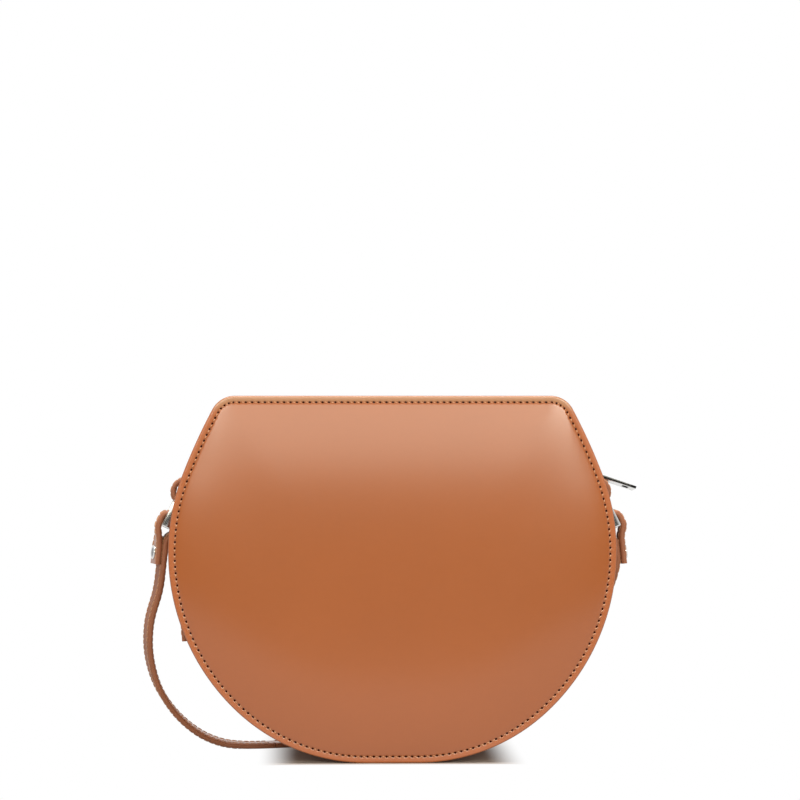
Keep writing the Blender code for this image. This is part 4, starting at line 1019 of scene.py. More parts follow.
class BAG_OT_zip(bpy.types.Operator):
    """Makes the zip's woven tapes, its separate teeth and its stops"""

    bl_idname = "bag.zip"
    bl_label = "Zip"

    def execute(self, context):
        colours = context.scene.bag_colours
        cloth = finish("zip_tape", woven_tape, colours.tape)
        metal = finish("zip_metal", plated, shade(colours.metal, 0.92), 0.24)
        count = int((ROUND - 2 * CHAIN_START) / TOOTH_PITCH) - 1

        def blocks(name, stations, sections, sign, replaced):
            Skin().add(flat_blocks(stations, sections, sign)).piece(
                name, metal, "zip_metal", "shell", [replaced])
        for side, sign in (("front", -1.0), ("back", 1.0)):
            reach = CHAIN_WIDTH / 2 + SEAT_GAP + TAPE_WIDTH * np.linspace(0.0, 1.0, 8)
            faces = [np.stack((np.full(8, inset), MID_DEPTH + sign * reach))
                     for inset in (TAPE_INSET, TAPE_INSET + TAPE_CLOTH)]
            Skin().add(*along_rim(TAPE_END, ROUND - TAPE_END, *faces)).piece(
                "zip_tape_" + side + "_cloth", cloth, "zip_tape", "shell", ["zip_tape_" + side])
            stations = CHAIN_START + TOOTH_PITCH * (1 - 0.25 * sign + np.arange(count))
            blocks("zip_teeth_" + side + "_row", stations, TOOTH, sign, "zip_teeth_" + side)
            blocks("zip_stop_" + side, np.array([STOP_MIDDLE]), STOP, sign, "zip_top_stop_" + side)
        blocks("zip_stop_end", np.array([ROUND - STOP_MIDDLE]), END_STOP, 1.0, "zip_bottom_stop")
        return {"FINISHED"}


# Slider and puller

class Seat:
    """A place with its own X, Y and Z directions."""

    def __init__(self, origin, along, across=UP_Y):
        self.origin = np.array(origin)
        self.axes = np.stack((along, across, np.cross(along, across)))

    def world(self, points):
        """Points of this place in the bag's frame."""
        return self.origin + points @ self.axes


def slider_seat():
    """Where the slider sits: on the rim's inset line, its X down the right shoulder."""
    x, z, _, _ = rim(SLIDER_STATION, RIM_DEPTH)
    travel = next(joint for joint in frame["joints"] if joint["name"] == "zip_slider_travel")
    return Seat((x, MID_DEPTH, z), -np.array(travel["axis"]))


SLIDER = slider_seat()
LOOP_CENTRE = np.array((float(rim(side_station(LOOP_HEIGHT))[0]) - TAB_LOOP_INSIDE, MID_DEPTH,
                        LOOP_HEIGHT))
PULLER_PIVOT = SLIDER.world(np.array((PIVOT_ALONG_BRIDGE, 0.0, SLIDER_TOP + BRIDGE_OPENING / 2)))
SLIDER_DOME = 0.55 * MM
UNDER_DOME = 0.4 * MM
SHELL_WALL = 1.0 * MM
SHELL_CORNER = 0.75 * MM
SHELL_SHARES = np.array((-1.0, -0.985, -0.93, -0.8, -0.6, -0.35, 0.0,
                         0.35, 0.6, 0.8, 0.93, 0.985, 1.0))
BRIDGE_FOOT = SLIDER_TOP - 0.6 * MM
BRIDGE_BEND = 0.8 * MM


def puller_seat():
    """The puller's place: it lies on the tab's loop, a gap above it, then is rolled about its
    length so that its lower face shows, lifted and turned."""
    reach = LOOP_CENTRE - PULLER_PIVOT
    clear = TAB_LOOP_RADIUS + TAB_LEATHER / 2 + SEAT_GAP + PULLER_PLATE / 2
    angle = math.atan2(reach[2], reach[0]) + math.asin(clear / math.hypot(reach[0], reach[2]))
    along = np.array((math.cos(angle), 0.0, math.sin(angle)))
    up = np.cross(along, UP_Y)
    across = UP_Y * math.cos(PULLER_ROLL) + up * math.sin(PULLER_ROLL)
    return Seat(PULLER_PIVOT + PULLER_LIFT * up, *turned(np.stack((along, across)), PULLER_YAW))


def shell_grid(top, roof, skirt, dome):
    """A slider's shell: an arch over the teeth carried along them, narrower and lower at its ends.

    Where share is the distance from the middle over the half length, its half width falls by 0.14
    share^2 towards the bag's side and by 0.05 share^4 both ways, and its top by dome share^4. Over
    the last tenth both are pinched in.
    """
    half_width = SLIDER_WIDTH / 2
    share = SHELL_SHARES
    pinch = np.clip((np.abs(share) - 0.9) / 0.1, 0.0, 1.0) ** 2
    wide = half_width * (1 - 0.14 * np.clip(share, 0, 1) ** 2 - 0.05 * share ** 4 - 0.05 * pinch)
    crest = top - np.sign(top - roof) * (dome * share ** 4 + 0.25 * dome * pinch)
    angle = np.radians(np.linspace(0.0, 90.0, 6))[1:]
    side_y = np.concatenate((np.ones(2), 1 - SHELL_CORNER / half_width * (1 - np.cos(angle))))
    arch_y = np.concatenate((-side_y, np.linspace(-0.6, 0.6, 5), side_y[::-1]))
    rise = np.concatenate(((0.0, 0.3), 0.3 + 0.7 * np.sin(angle)))
    arch_z = np.concatenate((rise, np.ones(5), rise[::-1]))
    x = np.broadcast_to((share * SLIDER_LENGTH / 2)[:, None], (len(share), len(arch_y)))
    y = wide[:, None] * arch_y
    outer = np.stack((x, y, skirt + (crest[:, None] - skirt) * arch_z), axis=-1)
    inner_z = np.where(np.abs(arch_y) > 0.98, skirt, roof)
    inner_z[[1, -2]] = roof
    inner_y = np.clip(y, SHELL_WALL - half_width, half_width - SHELL_WALL)
    inner = np.stack((x, inner_y, np.broadcast_to(inner_z, x.shape)), axis=-1)
    return SLIDER.world(sheet_grid(outer, inner))


def bridge_grid():
    """The slider's bridge: a bar with rounded edges along a path up, over and down."""
    half = BRIDGE_LENGTH / 2 - BRIDGE_BAR / 2
    rise = SLIDER_TOP + BRIDGE_OPENING + BRIDGE_BAR / 2 - BRIDGE_FOOT - BRIDGE_BEND
    quarter = (BRIDGE_BEND * math.pi / 2, -1 / BRIDGE_BEND)
    path = Arcs((-half, BRIDGE_FOOT), math.pi / 2, [
        (rise, 0.0), quarter, (2 * half - 2 * BRIDGE_BEND, 0.0), quarter, (rise, 0.0)])
    x, z, heading = path.at(np.linspace(0.0, path.length, 28))
    centres = np.stack((x, np.zeros_like(x), z), axis=-1)
    ups = np.stack((-np.sin(heading), np.zeros_like(x), np.cos(heading)), axis=-1)
    angle = np.linspace(0.0, 2 * math.pi, 17)
    round_y = squared(np.cos(angle), BRIDGE_OVAL) * BRIDGE_WIDTH / 2
    round_z = squared(np.sin(angle), BRIDGE_OVAL) * BRIDGE_BAR / 2
    ring = (centres[:, None, :] + round_y[None, :, None] * UP_Y
            + round_z[None, :, None] * ups[:, None, :])
    first = np.broadcast_to(centres[:1, None, :], ring[:1].shape)
    last = np.broadcast_to(centres[-1:, None, :], ring[-1:].shape)
    return SLIDER.world(np.concatenate((first, ring, last)))


def plate_cells():
    """Quads of the puller's flat plate, ruled by lines, without those inside its eye and slot."""
    slot_high = PULLER_LENGTH - PULLER_SLOT_END
    slot_low = slot_high - PULLER_SLOT
    half, eye, slot = PULLER_WIDTH / 2, PULLER_EYE_WIDTH / 2, PULLER_SLOT_WIDTH / 2
    x, y = np.meshgrid((-PULLER_PIN / 2, PULLER_PIN / 2, PULLER_EYE, slot_low, slot_high,
                        PULLER_LENGTH), (-half, -slot, -eye, eye, slot, half), indexing="ij")
    middle_x = (x[:-1, :-1] + x[1:, 1:]) / 2
    middle_y = (y[:-1, :-1] + y[1:, 1:]) / 2
    kept = np.ones(middle_x.shape, bool)
    for low, high, wide in ((PULLER_PIN / 2, PULLER_EYE, eye), (slot_low, slot_high, slot)):
        kept &= ~((middle_x > low) & (middle_x < high) & (np.abs(middle_y) < wide))
    index = np.arange(x.size).reshape(x.shape)
    quads = np.stack((index[:-1, :-1], index[1:, :-1], index[1:, 1:], index[:-1, 1:]), axis=-1)
    return np.stack((x.ravel(), y.ravel(), np.zeros(x.size)), axis=-1), quads[kept]


def values_of(items, name, width, kind):
    """One attribute of a mesh's items as an array."""
    found = np.empty(len(items) * width, kind)
    items.foreach_get(name, found)
    return found


def puller_mesh(name):
    """The puller: its plate given a thickness and bevelled edges, then put in its place.

    Its sides slope as it rolls: the way across grows by the roll's tangent times the way up. On its
    map v is 1 on both faces and 0 on the walls.
    """
    points, quads = plate_cells()
    mesh = bpy.data.meshes.new(name)
    used, faces = np.unique(quads, return_inverse=True)
    mesh.from_pydata(points[used].tolist(), [], faces.reshape(quads.shape).tolist())
    net = bmesh.new()
    net.from_mesh(mesh)
    extruded = bmesh.ops.extrude_face_region(net, geom=net.faces[:])
    top = [part for part in extruded["geom"] if isinstance(part, bmesh.types.BMVert)]
    bmesh.ops.translate(net, verts=top, vec=(0.0, 0.0, PULLER_SEEN))
    bmesh.ops.translate(net, verts=net.verts, vec=(0.0, 0.0, -PULLER_SEEN / 2))
    bmesh.ops.recalc_face_normals(net, faces=net.faces)
    sharp = [edge for edge in net.edges if edge.calc_face_angle(0.0) > SHARP]
    bmesh.ops.bevel(net, geom=sharp, offset=PULLER_BEVEL, segments=2, profile=0.6, affect="EDGES")
    net.to_mesh(mesh)
    net.free()
    upright = values_of(mesh.polygons, "normal", 3, np.float32)[2::3]
    corners = values_of(mesh.polygons, "loop_total", 1, np.int32)
    v = np.repeat(np.abs(upright) > PLATE_FACE, corners)
    uv = np.stack((np.zeros(len(v)), v), axis=-1).astype(np.float32)
    mesh.uv_layers.new(name="UVMap").data.foreach_set("uv", uv.ravel())
    points = values_of(mesh.vertices, "co", 3, np.float32).reshape(-1, 3).astype(float)
    points[:, 1] += math.tan(PULLER_ROLL) * points[:, 2]
    mesh.vertices.foreach_set("co", puller_seat().world(points).astype(np.float32).ravel())
    mesh.update()
    return mesh


class BAG_OT_slider(bpy.types.Operator):
    """Makes the zip's slider with its bridge, its lower shell and the flat puller"""

    bl_idname = "bag.slider"
    bl_label = "Slider and puller"

    def execute(self, context):
        colours = context.scene.bag_colours
        metal = finish("polished_metal", plated, colours.metal)
        upper = shell_grid(SLIDER_TOP, SLIDER_ROOF, SLIDER_SKIRT, SLIDER_DOME)
        Skin().add(upper).add(bridge_grid()).piece(
            "zip_slider_shell", metal, "polished_metal", "slider", ["zip_slider"])
        lower = shell_grid(UNDER_BOTTOM, UNDER_TOP, UNDER_SKIRT, UNDER_DOME)
        Skin().add(lower).piece(
            "zip_slider_lower_shell", metal, "polished_metal", "slider", ["zip_slider_underplate"])
        # The puller's walls are painted dark: a painted dark reflection
        metal = finish("puller_metal", plated, colours.metal, dark_to=0.5)
        name = "zip_puller_plate"
        finished(name, puller_mesh(name), metal, "polished_metal", "puller", ["zip_puller"])
        return {"FINISHED"}


# Tabs, rings, strap and rivets

RING_PIVOT = LOOP_CENTRE + np.array((RING_PIVOT_OUT, 0.0, -RING_PIVOT_DOWN))
RING_DIRECTION = np.array((math.cos(RING_HANG), 0.0, -math.sin(RING_HANG)))
RING_OUT = np.array((math.sin(RING_HANG), 0.0, math.cos(RING_HANG)))
RING_END = RING_PIVOT + RING_DIRECTION * RING_LENGTH
RING_BEVEL = 0.32 * MM
RING_SHARP = math.radians(25.0)
SIDES = (("right", RIGHT), ("left", LEFT))
STITCH_SHARES = np.array((0.0, 0.12, 0.3, 0.7, 0.88, 1.0))
STITCH_LIFT = 0.22 * MM
STITCH_DIP = 0.3 * MM
STITCH_SLANT = 0.3 * MM
GROOVE_ACROSS = 0.28 * MM
EDGE_ROUNDNESS = 0.92
SEAM_COLUMNS = np.array((-0.3, -0.15, 0.0, 0.15, 0.3, 0.7)) * MM
MIDDLE_COLUMN = 0.35
STRAP_SPACING = 1.5 * MM
LOOP_SPACING = 0.6 * MM
PAINTED_EDGE = 0.75 * MM


def mirrored(points, side):
    """Points of the right side, on a side."""
    return points * np.array((side, 1.0, 1.0))


class Band:
    """A strip of leather along a line of points, across the bag's depth, with a turn at each."""

    def __init__(self, points, turn=0.0):
        self.points = points
        self.along = run_lengths(points)
        run = unit(np.gradient(points, self.along, axis=0))
        level = unit(run * (1.0, 0.0, 1.0))
        flat = np.stack((-level[:, 2], np.zeros(len(level)), level[:, 0]), axis=-1)
        across = unit(UP_Y - run * run[:, 1:2])
        normal = unit(np.cross(run, across))
        normal *= np.sign(np.sum(normal * flat, axis=1, keepdims=True))
        self.normal = turned(normal, turn)
        self.across = turned(across, turn)

    def section(self, width, thickness, sizes):
        """Columns of the outer side as (across, out): a rounded edge, a groove, a flat middle."""
        radius = thickness / 2 * EDGE_ROUNDNESS
        angle = np.radians(np.linspace(90.0, 0.0, 5))
        seam = width / 2 - sizes.edge_seam
        half = np.concatenate((width / 2 - radius * (1 - np.sin(angle)), seam - SEAM_COLUMNS,
                               (seam * MIDDLE_COLUMN,)))
        out = np.full(len(half), thickness / 2)
        out[:len(angle)] -= radius * (1 - np.cos(angle))
        out -= sizes.seam_groove * np.exp(-((half - seam) / GROOVE_ACROSS) ** 2)
        return np.concatenate((-half, half[::-1])), np.concatenate((out, out[::-1]))

    def grid(self, width, thickness, sizes):
        """Grid and map of the strip: point + across a + normal o over the section."""
        across, out = self.section(width, thickness, sizes)
        base = self.points[:, None, :] + across[:, None] * self.across[:, None, :]
        up = out[:, None] * self.normal[:, None, :]
        return sheet_grid(base + up, base - up), sheet_map(self.along, across)

    def stitches(self, width, thickness, sizes):
        """Stitches along both edges, on both sides of the strip.

        Where t is 0 and 1 at a stitch's ends and s = |2t - 1|, it rises as lift (1 - s^5), less
        dip s^9, over the groove.
        """
        count = int(self.along[-1] / sizes.stitch) - 1
        first = (self.along[-1] - count * sizes.stitch) / 2
        where = first + (np.arange(count)[:, None] + STITCH_SHARES) * sizes.stitch
        off = np.abs(2 * STITCH_SHARES - 1)
        lift = STITCH_LIFT * (1 - off ** 5) - STITCH_DIP * off ** 9 - sizes.seam_groove
        slant = (STITCH_SHARES - 0.5) * STITCH_SLANT

        def sample(rows):
            flat = [np.interp(where.ravel(), self.along, rows[:, i]) for i in range(3)]
            return np.stack(flat, axis=-1).reshape(where.shape + (3,))
        centre, across, normal = sample(self.points), sample(self.across), sample(self.normal)
        across, normal = unit(across), unit(normal)
        skin = []
        for edge in (-1.0, 1.0):
            for face in (-1.0, 1.0):
                offset = (edge * (width / 2 - sizes.edge_seam) + slant)[:, None] * across
                up = face * normal
                line = centre + offset + (thickness / 2 + lift)[:, None] * up
                skin.append(tubes(line, across, up, sizes.thread / 2, THREAD_FLAT, 5))
        grids = np.concatenate(skin)
        return grids, thread_map(grids, sizes.stitch)


def beside_gusset(start, end):
    """Middle line of a tab that lies against the gusset, between two stations."""
    x, z, _, _ = rim(even(start, end, STRAP_SPACING), RIM_DEPTH - SEAT_GAP - TAB_LEATHER / 2)
    return np.stack((x, np.full_like(x, MID_DEPTH), z), axis=-1)


def tab_line(straight):
    """Middle line of a tab on the right: up the side, round the loop, down against the gusset.

    Its tail below the bag's widest height follows the gusset, or hangs almost straight.
    """
    middle = BAG_WIDTH / 2 - RIM_DEPTH + SEAT_GAP + TAB_LEATHER / 2
    neck_out = TAB_NECK_RADIUS * (1 - math.cos(TAB_NECK_TURN))
    neck_up = TAB_NECK_RADIUS * math.sin(TAB_NECK_TURN)
    loop_x = LOOP_CENTRE[0] + TAB_LOOP_RADIUS * math.cos(TAB_NECK_TURN)
    loop_z = LOOP_CENTRE[2] - TAB_LOOP_RADIUS * math.sin(TAB_NECK_TURN)
    slack = loop_x - neck_out - middle
    neck_z = loop_z - neck_up - slack / math.tan(TAB_NECK_TURN)
    widest = min(SIDE_CENTRE_Z, neck_z)
    down = math.acos((LOOP_CENTRE[2] - SIDE_CENTRE_Z) / SIDE_RADIUS)
    loop = Arcs((middle, widest), math.pi / 2, [
        (neck_z - widest, 0.0),
        (TAB_NECK_RADIUS * TAB_NECK_TURN, -1 / TAB_NECK_RADIUS),
        (slack / math.sin(TAB_NECK_TURN), 0.0),
        (TAB_LOOP_RADIUS * (math.pi / 2 + TAB_NECK_TURN), 1 / TAB_LOOP_RADIUS),
        (TAB_FOLD_RADIUS * down, 1 / TAB_FOLD_RADIUS)]).points(LOOP_SPACING)
    fold_end = side_station(loop[-1, 2])
    back_leg = beside_gusset(fold_end, fold_end - TAB_BACK_LEG)[1:]
    if straight:
        height = even(TAB_BOTTOM, widest, STRAP_SPACING)[:-1]
        bend = TAB_TAIL_BEND * ((widest - height) / (widest - TAB_BOTTOM)) ** 2
        tail = np.stack((middle - bend, np.full_like(height, MID_DEPTH), height), axis=-1)
    else:
        tail = beside_gusset(side_station(TAB_BOTTOM), side_station(widest))[:-1]
    return np.concatenate((tail, loop, back_leg))


def strap_leather(colours):
    """The leather of the strap and the tabs, painted along both edges."""
    edge = STRAP_WIDTH / 2 - PAINTED_EDGE
    return finish("strap_leather", leather, colours.trim, colours.edge, -edge, edge, coat=0.35)


class BAG_OT_tabs(bpy.types.Operator):
    """Makes the stitched leather tab on each side that holds a ring"""

    bl_idname = "bag.tabs"
    bl_label = "Side tabs"

    def execute(self, context):
        sizes, colours = context.scene.bag_sizes, context.scene.bag_colours
        material = strap_leather(colours)
        thread = finish("thread", thread_finish, colours.thread)
        for side, sign in SIDES:
            band = Band(mirrored(tab_line(sign == LEFT), sign))
            Skin().add(*band.grid(TAB_WIDTH, TAB_LEATHER, sizes)).piece(
                "tab_leather_" + side, material, "trim_leather", "shell", ["ring_tab_" + side])
            Skin().add(*band.stitches(TAB_WIDTH, TAB_LEATHER, sizes)).piece(
                "tab_stitches_" + side, thread, "thread", "shell")
        return {"FINISHED"}


def rounded_frame(half_x, half_y, corner):
    """Closed outline of a rectangle with round corners about its middle."""
    angle = np.linspace(0.0, math.pi / 2, 5)
    quarters = [np.stack((side_x * (half_x - corner) + corner * np.cos(angle + start),
                          side_y * (half_y - corner) + corner * np.sin(angle + start)), axis=-1)
                for side_x, side_y, start in ((1, 1, 0.0), (-1, 1, math.pi / 2), (-1, -1, math.pi),
                                              (1, -1, 1.5 * math.pi))]
    return np.concatenate(quarters + [quarters[0][:1]])


def ring_grid(seat):
    """A flat rectangular ring: a bevelled section goes round between its two outlines."""
    length, width = RING_LENGTH / 2, RING_INNER_WIDTH / 2
    outer = rounded_frame(length + RING_BAR / 2, width + RING_BAR, RING_CORNER)
    inner = rounded_frame(length - RING_BAR / 2, width, RING_CORNER / 2)
    share, half = RING_BEVEL / RING_BAR, RING_THICK / 2
    section = np.array(((0.0, half - RING_BEVEL), (0.3 * share, half - 0.3 * RING_BEVEL),
                        (share, half)))
    section = np.concatenate((section, (1.0, 0.0) + section[::-1] * (-1, 1)))
    section = np.concatenate((section, section[::-1] * (1, -1), section[:1]))
    line = outer[:, None, :] * (1 - section[:, :1]) + inner[:, None, :] * section[:, :1]
    height = np.broadcast_to(section[:, 1], line.shape[:2])
    return seat.world(np.concatenate((line + (length, 0.0), height[..., None]), axis=-1))


class BAG_OT_rings(bpy.types.Operator):
    """Makes the flat rectangular ring on each side"""

    bl_idname = "bag.rings"
    bl_label = "Rings"

    def execute(self, context):
        sizes = context.scene.bag_sizes
        metal = finish("polished_metal", plated, context.scene.bag_colours.metal)
        middle = (RING_PIVOT + RING_END) / 2
        for side, sign in SIDES:
            turn, twist = (sizes.ring_turn, 0.0) if sign == LEFT else (0.0, sizes.ring_twist)
            across = UP_Y * math.cos(twist) - RING_OUT * math.sin(twist)
            inwards = RING_OUT * math.sin(twist) * (RING_INNER_WIDTH / 2 + RING_BAR)
            grid = ring_grid(Seat(RING_PIVOT - inwards, RING_DIRECTION, across)) - middle
            grid = turned(mirrored(grid, sign), turn) + mirrored(middle, sign)
            Skin().add(grid).piece("ring_bar_" + side, metal, "polished_metal", side + "_ring",
                                   ["ring_" + side], RING_SHARP)
        return {"FINISHED"}


def strap_end():
    """The strap's folded end on the right: up from its tip, over the ring and down to the bow."""
    lean = math.pi / 2 + STRAP_LEAN
    corner = RING_END + RING_DIRECTION * (RING_BAR / 2) + RING_OUT * (RING_THICK / 2)
    middle = (lean + STRAP_OVER_RING) / 2
    shift = STRAP_CORNER_RADIUS - STRAP_LEATHER / 2 - STRAP_LEG_GAP
    bend_x = corner[0] - shift * math.sin(middle) + STRAP_CORNER_RADIUS * math.sin(lean)
    bend_z = corner[2] + shift * math.cos(middle) - STRAP_CORNER_RADIUS * math.cos(lean)
    tip_z = RING_END[2] - STRAP_END_BELOW_RING
    leg = (bend_z - tip_z) / math.sin(lean)
    tip = np.array((bend_x - leg * math.cos(lean), tip_z))
    drop = 3 * math.pi / 2
    out = drop + STRAP_NECK_TURN
    turn_back = STRAP_LEAN - STRAP_NECK_TURN
    spans = [(leg, 0.0),
             (STRAP_CORNER_RADIUS * (STRAP_OVER_RING - lean), 1 / STRAP_CORNER_RADIUS),
             (STRAP_RISE, 0.0),
             (STRAP_FOLD_RADIUS * (drop - STRAP_OVER_RING), 1 / STRAP_FOLD_RADIUS),
             (STRAP_THROUGH_RING, 0.0),
             (STRAP_NECK_RADIUS * STRAP_NECK_TURN, 1 / STRAP_NECK_RADIUS)]
    last = (-STRAP_NECK_RADIUS * turn_back, -1 / STRAP_NECK_RADIUS)
    so_far = Arcs(tip, lean, spans)
    back = Arcs((0.0, 0.0), out, [last])
    reached = np.array((so_far.x[-1] + back.x[-1], so_far.z[-1] + back.z[-1]))
    across = np.array((math.sin(lean), -math.cos(lean)))
    gap = (tip - reached) @ across - STRAP_LEATHER - STRAP_LEG_GAP
    slant = gap / (np.array((math.cos(out), math.sin(out))) @ across)
    return tip, Arcs(tip, lean, spans + [(slant, 0.0), last, (STRAP_SEAT, 0.0)])


STRAP_TIP, STRAP_END = strap_end()


def coil_points():
    """The spare length behind the bag: upright turns, each a lane nearer the panel."""
    turn = np.arange(COIL_TURNS * COIL_STEPS + 1) / COIL_STEPS
    whole = np.floor(turn)
    lane = COIL_TURNS - whole - eased(turn - whole, *COIL_SHIFT)
    angle = 2 * math.pi * turn
    return np.stack((COIL_RADIUS * np.sin(angle), FIRST_LANE + STRAP_LANE * lane,
                     STRAP_FLOOR + COIL_RADIUS * (1 - np.cos(angle))), axis=-1)


def strap_route():
    """Points of the strap between its folded ends: (out, back, share of the ends' height)."""
    half = BAG_WIDTH / 2
    left = [(out * MM - half, back, share) for out, back, share in (
        (-7.0, MID_DEPTH + 2 * MM, 0.824), (-10.6, MID_DEPTH + 7 * MM, 0.654),
        (-10.8, MID_DEPTH + 14 * MM, 0.492), (-7.0, MID_DEPTH + 21 * MM, 0.330),
        (1.0, MID_DEPTH + 28 * MM, 0.185), (11.5, MID_DEPTH + 33 * MM, 0.078),
        (22.5, FIRST_LANE - 1 * MM, 0.019), (34.0, FIRST_LANE, 0.0),
        (48.0, FIRST_LANE + 0.15 * STRAP_LANE, 0.0), (62.0, FIRST_LANE + 0.75 * STRAP_LANE, 0.0),
        (76.0, FIRST_LANE + 1.5 * STRAP_LANE, 0.0), (89.0, FIRST_LANE + 2.0 * STRAP_LANE, 0.0))]
    right = [(start + out * MM, back, share) for start, out, back, share in (
        (0.0, 14.0, FIRST_LANE, 0.0), (0.0, 28.0, FIRST_LANE, 0.009),
        (0.0, 44.0, FIRST_LANE, 0.057), (0.0, 60.0, FIRST_LANE, 0.147),
        (half, -30.0, FIRST_LANE, 0.271), (half, -19.0, FIRST_LANE, 0.400),
        (half, -10.2, FIRST_LANE - 1 * MM, 0.524), (half, -4.6, FIRST_LANE - 8 * MM, 0.632),
        (half, -1.2, FIRST_LANE - 18 * MM, 0.735), (half, 1.3, FIRST_LANE - 28 * MM, 0.832),
        (half, 3.6, MID_DEPTH + 1 * MM, 0.923))]
    rise = np.array((1.0, 1.0, STRAP_END.z[-1] - STRAP_FLOOR))
    return [np.array(rows) * rise + (0.0, 0.0, STRAP_FLOOR) for rows in (left, right)]


CURVE_STEPS = 12
LEAD = 8
FOLD_SPACING = 0.7 * MM
COIL_SPACING = 2.5 * MM

# Heights from the ring's end between which the folded ends start and stop hanging slack, and
# between which the left bow starts to turn
SLACK_STARTS = (1.0 * MM, -6.0 * MM)
SLACK_ENDS = (-42.0 * MM, -26.0 * MM)
BOW_TURNS = (-1.0 * MM, -11.0 * MM)
# Heights, and distances to the left, between which that turn grows
BOW_RISES = (0.0, 55.0 * MM)
BOW_OUT = (65.0 * MM, 95.0 * MM)


def curve_through(points, before, after):
    """Points on the Catmull-Rom curve through points, whose ends head from before and to after."""
    guide = np.concatenate(([before], points, [after]))
    a, b, c, d = (guide[i:len(guide) - 3 + i, None, :] for i in range(4))
    t = np.linspace(0.0, 1.0, CURVE_STEPS, endpoint=False)[None, :, None]
    curve = (2 * b + (c - a) * t + (2 * a - 5 * b + 4 * c - d) * t ** 2
             + (3 * b - a - 3 * c + d) * t ** 3) / 2
    return np.concatenate((curve.reshape(-1, 3), points[-1:]))


def spaced(points, spacing):
    """The same line with evenly spaced points."""
    along = run_lengths(points)
    where = even(0.0, along[-1], spacing)
    return np.stack([np.interp(where, along, points[:, i]) for i in range(3)], axis=-1)


def past_ring(points, start, end):
    """0 at one height from the ring's end and 1 at another, eased between."""
    return eased(points[:, 2], RING_END[2] + start, RING_END[2] + end)


def hang(points, side):
    """Points of a folded end drawn towards the bag below its ring, where the leather is slack."""
    shift = (STRAP_SLACK[side] * past_ring(points, *SLACK_STARTS)
             * past_ring(points, *SLACK_ENDS))
    return points - (side * shift)[:, None] * (1.0, 0.0, 0.0)


def bow_turn(points, sizes):
    """How far the left strap is turned: as its ring over the bar, more in the bow, and not behind
    the bag or near the floor."""
    below = past_ring(points, *BOW_TURNS)
    turn = sizes.ring_turn + (sizes.strap_turn - sizes.ring_turn) * below
    return turn * (eased(points[:, 2], *BOW_RISES) * eased(-points[:, 0], *BOW_OUT))


def strap_lines():
    """The strap in three lengths that meet behind the bag: left end, coil and right end."""
    left, right = strap_route()
    coil = coil_points()
    end = STRAP_END.points(FOLD_SPACING)
    left_end = mirrored(end, LEFT)
    before, after = (line[-1] - LEAD * (line[-1] - line[-2]) for line in (left_end, end))
    curve = curve_through(np.concatenate((left_end[-1:], left, coil, right, end[-1:])),
                          before, after)
    cut_left = (1 + STRAP_JOINT_LEFT) * CURVE_STEPS
    cut_right = (1 + len(left) + len(coil) + STRAP_JOINT_RIGHT) * CURVE_STEPS
    left_part = np.concatenate((left_end[:-1], curve[:cut_left + 1]))
    right_part = np.concatenate((curve[cut_right:], end[::-1][1:]))
    return (hang(spaced(left_part, STRAP_SPACING), LEFT),
            spaced(curve[cut_left:cut_right + 1], COIL_SPACING),
            hang(spaced(right_part, STRAP_SPACING), RIGHT))


def strap_blend(piece, body, side):
    """Bakes the placement of a length of the strap into its mesh."""
    x = float(side * STRAP_TIP[0])
    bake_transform(piece)


class BAG_OT_strap(bpy.types.Operator):
    """Makes the stitched shoulder strap in three lengths that meet behind the bag"""

    bl_idname = "bag.strap"
    bl_label = "Shoulder strap"

    def execute(self, context):
        sizes, colours = context.scene.bag_sizes, context.scene.bag_colours
        material = strap_leather(colours)
        thread = finish("thread", thread_finish, colours.thread)
        left, coil, right = strap_lines()
        for name, line, side, turn in (("left", left, LEFT, bow_turn(left, sizes)),
                                       ("coil", coil, None, 0.0), ("right", right, RIGHT, 0.0)):
            band = Band(line, turn)
            body = None if side else "shell"
            made = [Skin().add(*band.grid(STRAP_WIDTH, STRAP_LEATHER, sizes)).piece(
                        "strap_" + name, material, "trim_leather", body, ["shoulder_strap"]),
                    Skin().add(*band.stitches(STRAP_WIDTH, STRAP_LEATHER, sizes)).piece(
                        "strap_stitches_" + name, thread, "thread", body)]
            if side:
                for piece in made:
                    strap_blend(piece, name + "_ring", side)
        return {"FINISHED"}


# Rivets: the gap round them, the cap's lip, and its dish and the post's head as shares of the
# cap's radius and height
RIVET_GAP = 0.02 * MM
RIVET_EDGE = 0.3 * MM
RIVET_LIP = 0.5 * MM
# Share of the cap's radius inside which its dish is painted dark: a painted dark reflection
DISH_PAINTED_DARK = 0.7
RIVET_DISH = np.array(((0.72, 0.62), (0.62, 0.52), (0.45, 0.56), (0.2, 0.6), (0.0, 0.61)))
RIVET_HEAD = np.array(((1.0, 0.0), (1.0, 0.3), (0.93, 0.45), (0.75, 0.62), (0.4, 0.78),
                       (0.0, 0.82)))


def rivet_place():
    """Middle of the right rivet in the strap's outer leg, and its direction outwards."""
    out = np.array((math.cos(STRAP_LEAN), 0.0, math.sin(STRAP_LEAN)))
    rise = (RING_END[2] - RIVET_BELOW_RING - STRAP_TIP[1]) / math.cos(STRAP_LEAN)
    middle = np.array((STRAP_TIP[0] - rise * math.sin(STRAP_LEAN), MID_DEPTH,
                       STRAP_TIP[1] + rise * math.cos(STRAP_LEAN)))
    return middle, out


